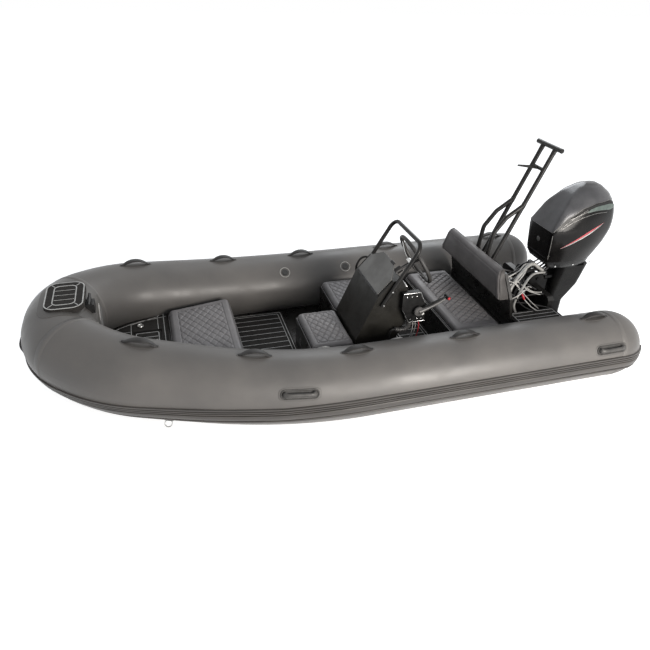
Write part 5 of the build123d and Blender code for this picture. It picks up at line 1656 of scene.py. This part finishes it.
# ------------------------------------------------------------------ hoses and cables to the engine
# Fuel hose, control cables and wiring come out beside the backrest and are clamped on the swivel bracket,
# from where short tails run up into the tray.
hose_grey = new_material("hose_grey", (0.3, 0.295, 0.285), 0.45,
                         mottle=((0.24, 0.235, 0.225), (0.38, 0.375, 0.36), 25), grain=(900, 0.1))
clamp_form = [plate(-1.672, -1.632, -0.115, 0.115, 0.5165, 0.529, 0.006),
              plate(-1.666, -1.638, -0.11, 0.11, 0.529, 0.546, 0.006)]
add_piece("hose_clamp", clamp_form, fitting_black, "engine_swivel")
# finish, radius, route
HOSES = (
    ("grey", 0.0125, ((-1.262, 0.300, 0.352), (-1.236, 0.300, 0.42), (-1.236, 0.285, 0.50),
                      (-1.285, 0.255, 0.575), (-1.37, 0.20, 0.612), (-1.45, 0.15, 0.632),
                      (-1.53, 0.105, 0.622), (-1.60, 0.09, 0.573), (-1.65, 0.085, 0.5375))),
    ("grey", 0.009, ((-1.29, 0.335, 0.356), (-1.262, 0.335, 0.42), (-1.285, 0.325, 0.49), (-1.35, 0.28, 0.54),
                     (-1.44, 0.20, 0.548), (-1.55, 0.12, 0.542), (-1.65, 0.108, 0.5375))),
    ("black", 0.0115, ((-1.198, 0.235, 0.50), (-1.25, 0.225, 0.545), (-1.34, 0.18, 0.56), (-1.45, 0.11, 0.55),
                       (-1.56, 0.06, 0.543), (-1.65, 0.055, 0.5375))),
    ("black", 0.0075, ((-1.188, 0.17, 0.56), (-1.25, 0.165, 0.58), (-1.35, 0.12, 0.575), (-1.47, 0.05, 0.56),
                       (-1.58, 0.02, 0.545), (-1.65, 0.02, 0.5375))),
    ("white", 0.005, ((-1.195, 0.265, 0.53), (-1.26, 0.26, 0.56), (-1.34, 0.215, 0.545), (-1.44, 0.14, 0.565),
                      (-1.55, 0.03, 0.56), (-1.65, -0.01, 0.5375))),
    ("white", 0.0045, ((-1.19, 0.20, 0.545), (-1.27, 0.21, 0.60), (-1.38, 0.15, 0.60), (-1.50, 0.04, 0.585),
                       (-1.60, -0.03, 0.55), (-1.65, -0.035, 0.5375))),
    ("black", 0.006, ((-1.196, 0.12, 0.51), (-1.27, 0.12, 0.50), (-1.38, 0.06, 0.515), (-1.50, -0.02, 0.54),
                      (-1.59, -0.06, 0.545), (-1.65, -0.065, 0.5375))),
    ("black", 0.009, ((-1.235, 0.28, 0.352), (-1.27, 0.285, 0.46), (-1.34, 0.245, 0.53), (-1.45, 0.13, 0.52),
                      (-1.56, 0.0, 0.535), (-1.65, -0.09, 0.5375))),
)
hose_finish = {"grey": hose_grey, "black": fitting_black, "white": wire_white}
for number, (finish, radius, route) in enumerate(HOSES, 1):
    hose = add_piece(f"engine_hose_{number}", rod_form(smooth_route(route, 7), radius, 12),
                     hose_finish[finish],
                     None, 60)
    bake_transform(hose)
tails = [rod_form(smooth_route([(-1.655, y, 0.54), (-1.675, y * 0.95, 0.552), (-1.705, y * 0.85, 0.572)], 5),
                  radius, 10)
         for y, radius in ((0.085, 0.0105), (0.055, 0.009), (0.02, 0.0075), (-0.02, 0.005), (-0.065, 0.006))]
tails = add_piece("engine_hose_tails", tails, fitting_black, None, 60)
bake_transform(tails)
# looms that stay in the boat: clipped under the backrest and along the stern step
LOOMS = (
    ("white", 0.004, ((-1.30, 0.25, 0.555), (-1.345, 0.27, 0.50), (-1.37, 0.29, 0.44), (-1.42, 0.335, 0.385),
                      (-1.46, 0.365, 0.361))),
    ("white", 0.0035, ((-1.33, 0.22, 0.55), (-1.40, 0.23, 0.505), (-1.48, 0.235, 0.455),
                       (-1.565, 0.235, 0.4385))),
    ("black", 0.005, ((-1.245, 0.30, 0.42), (-1.32, 0.31, 0.42), (-1.42, 0.30, 0.395), (-1.52, 0.33, 0.375),
                      (-1.58, 0.345, 0.362))),
    ("black", 0.0045, ((-1.245, 0.25, 0.40), (-1.34, 0.24, 0.405), (-1.45, 0.24, 0.43),
                       (-1.56, 0.26, 0.4395))),
    ("white", 0.003, ((-1.170, 0.28, 0.60), (-1.25, 0.285, 0.585), (-1.34, 0.295, 0.50), (-1.42, 0.315, 0.42),
                      (-1.49, 0.33, 0.36))),
    ("white", 0.003, ((-1.160, 0.18, 0.63), (-1.25, 0.20, 0.60), (-1.35, 0.225, 0.54), (-1.43, 0.25, 0.475),
                      (-1.53, 0.265, 0.438))),
    ("black", 0.007, ((-1.160, 0.11, 0.61), (-1.26, 0.135, 0.615), (-1.37, 0.15, 0.57), (-1.45, 0.175, 0.50),
                      (-1.54, 0.19, 0.442))),
    ("white", 0.0035, ((-1.200, 0.33, 0.46), (-1.28, 0.34, 0.505), (-1.36, 0.30, 0.52), (-1.44, 0.22, 0.495),
                       (-1.54, 0.165, 0.438))),
    ("black", 0.004, ((-1.185, 0.31, 0.53), (-1.25, 0.335, 0.50), (-1.31, 0.35, 0.43), (-1.39, 0.36, 0.38),
                      (-1.46, 0.37, 0.36))),
)
for finish in ("white", "black"):
    forms = [rod_form(smooth_route(route), radius, 8) for kind, radius, route in LOOMS if kind == finish]
    add_piece(f"stern_loom_{finish}", forms, hose_finish[finish], "boat", 60)
joiner = [(-1.354, 0.276, 0.478), (-1.361, 0.281, 0.463), (-1.368, 0.288, 0.446), (-1.374, 0.295, 0.432)]
add_piece("stern_loom_joiner", rod_form(joiner, [0.006, 0.0085, 0.0085, 0.006], 12),
          signal_red, "boat")
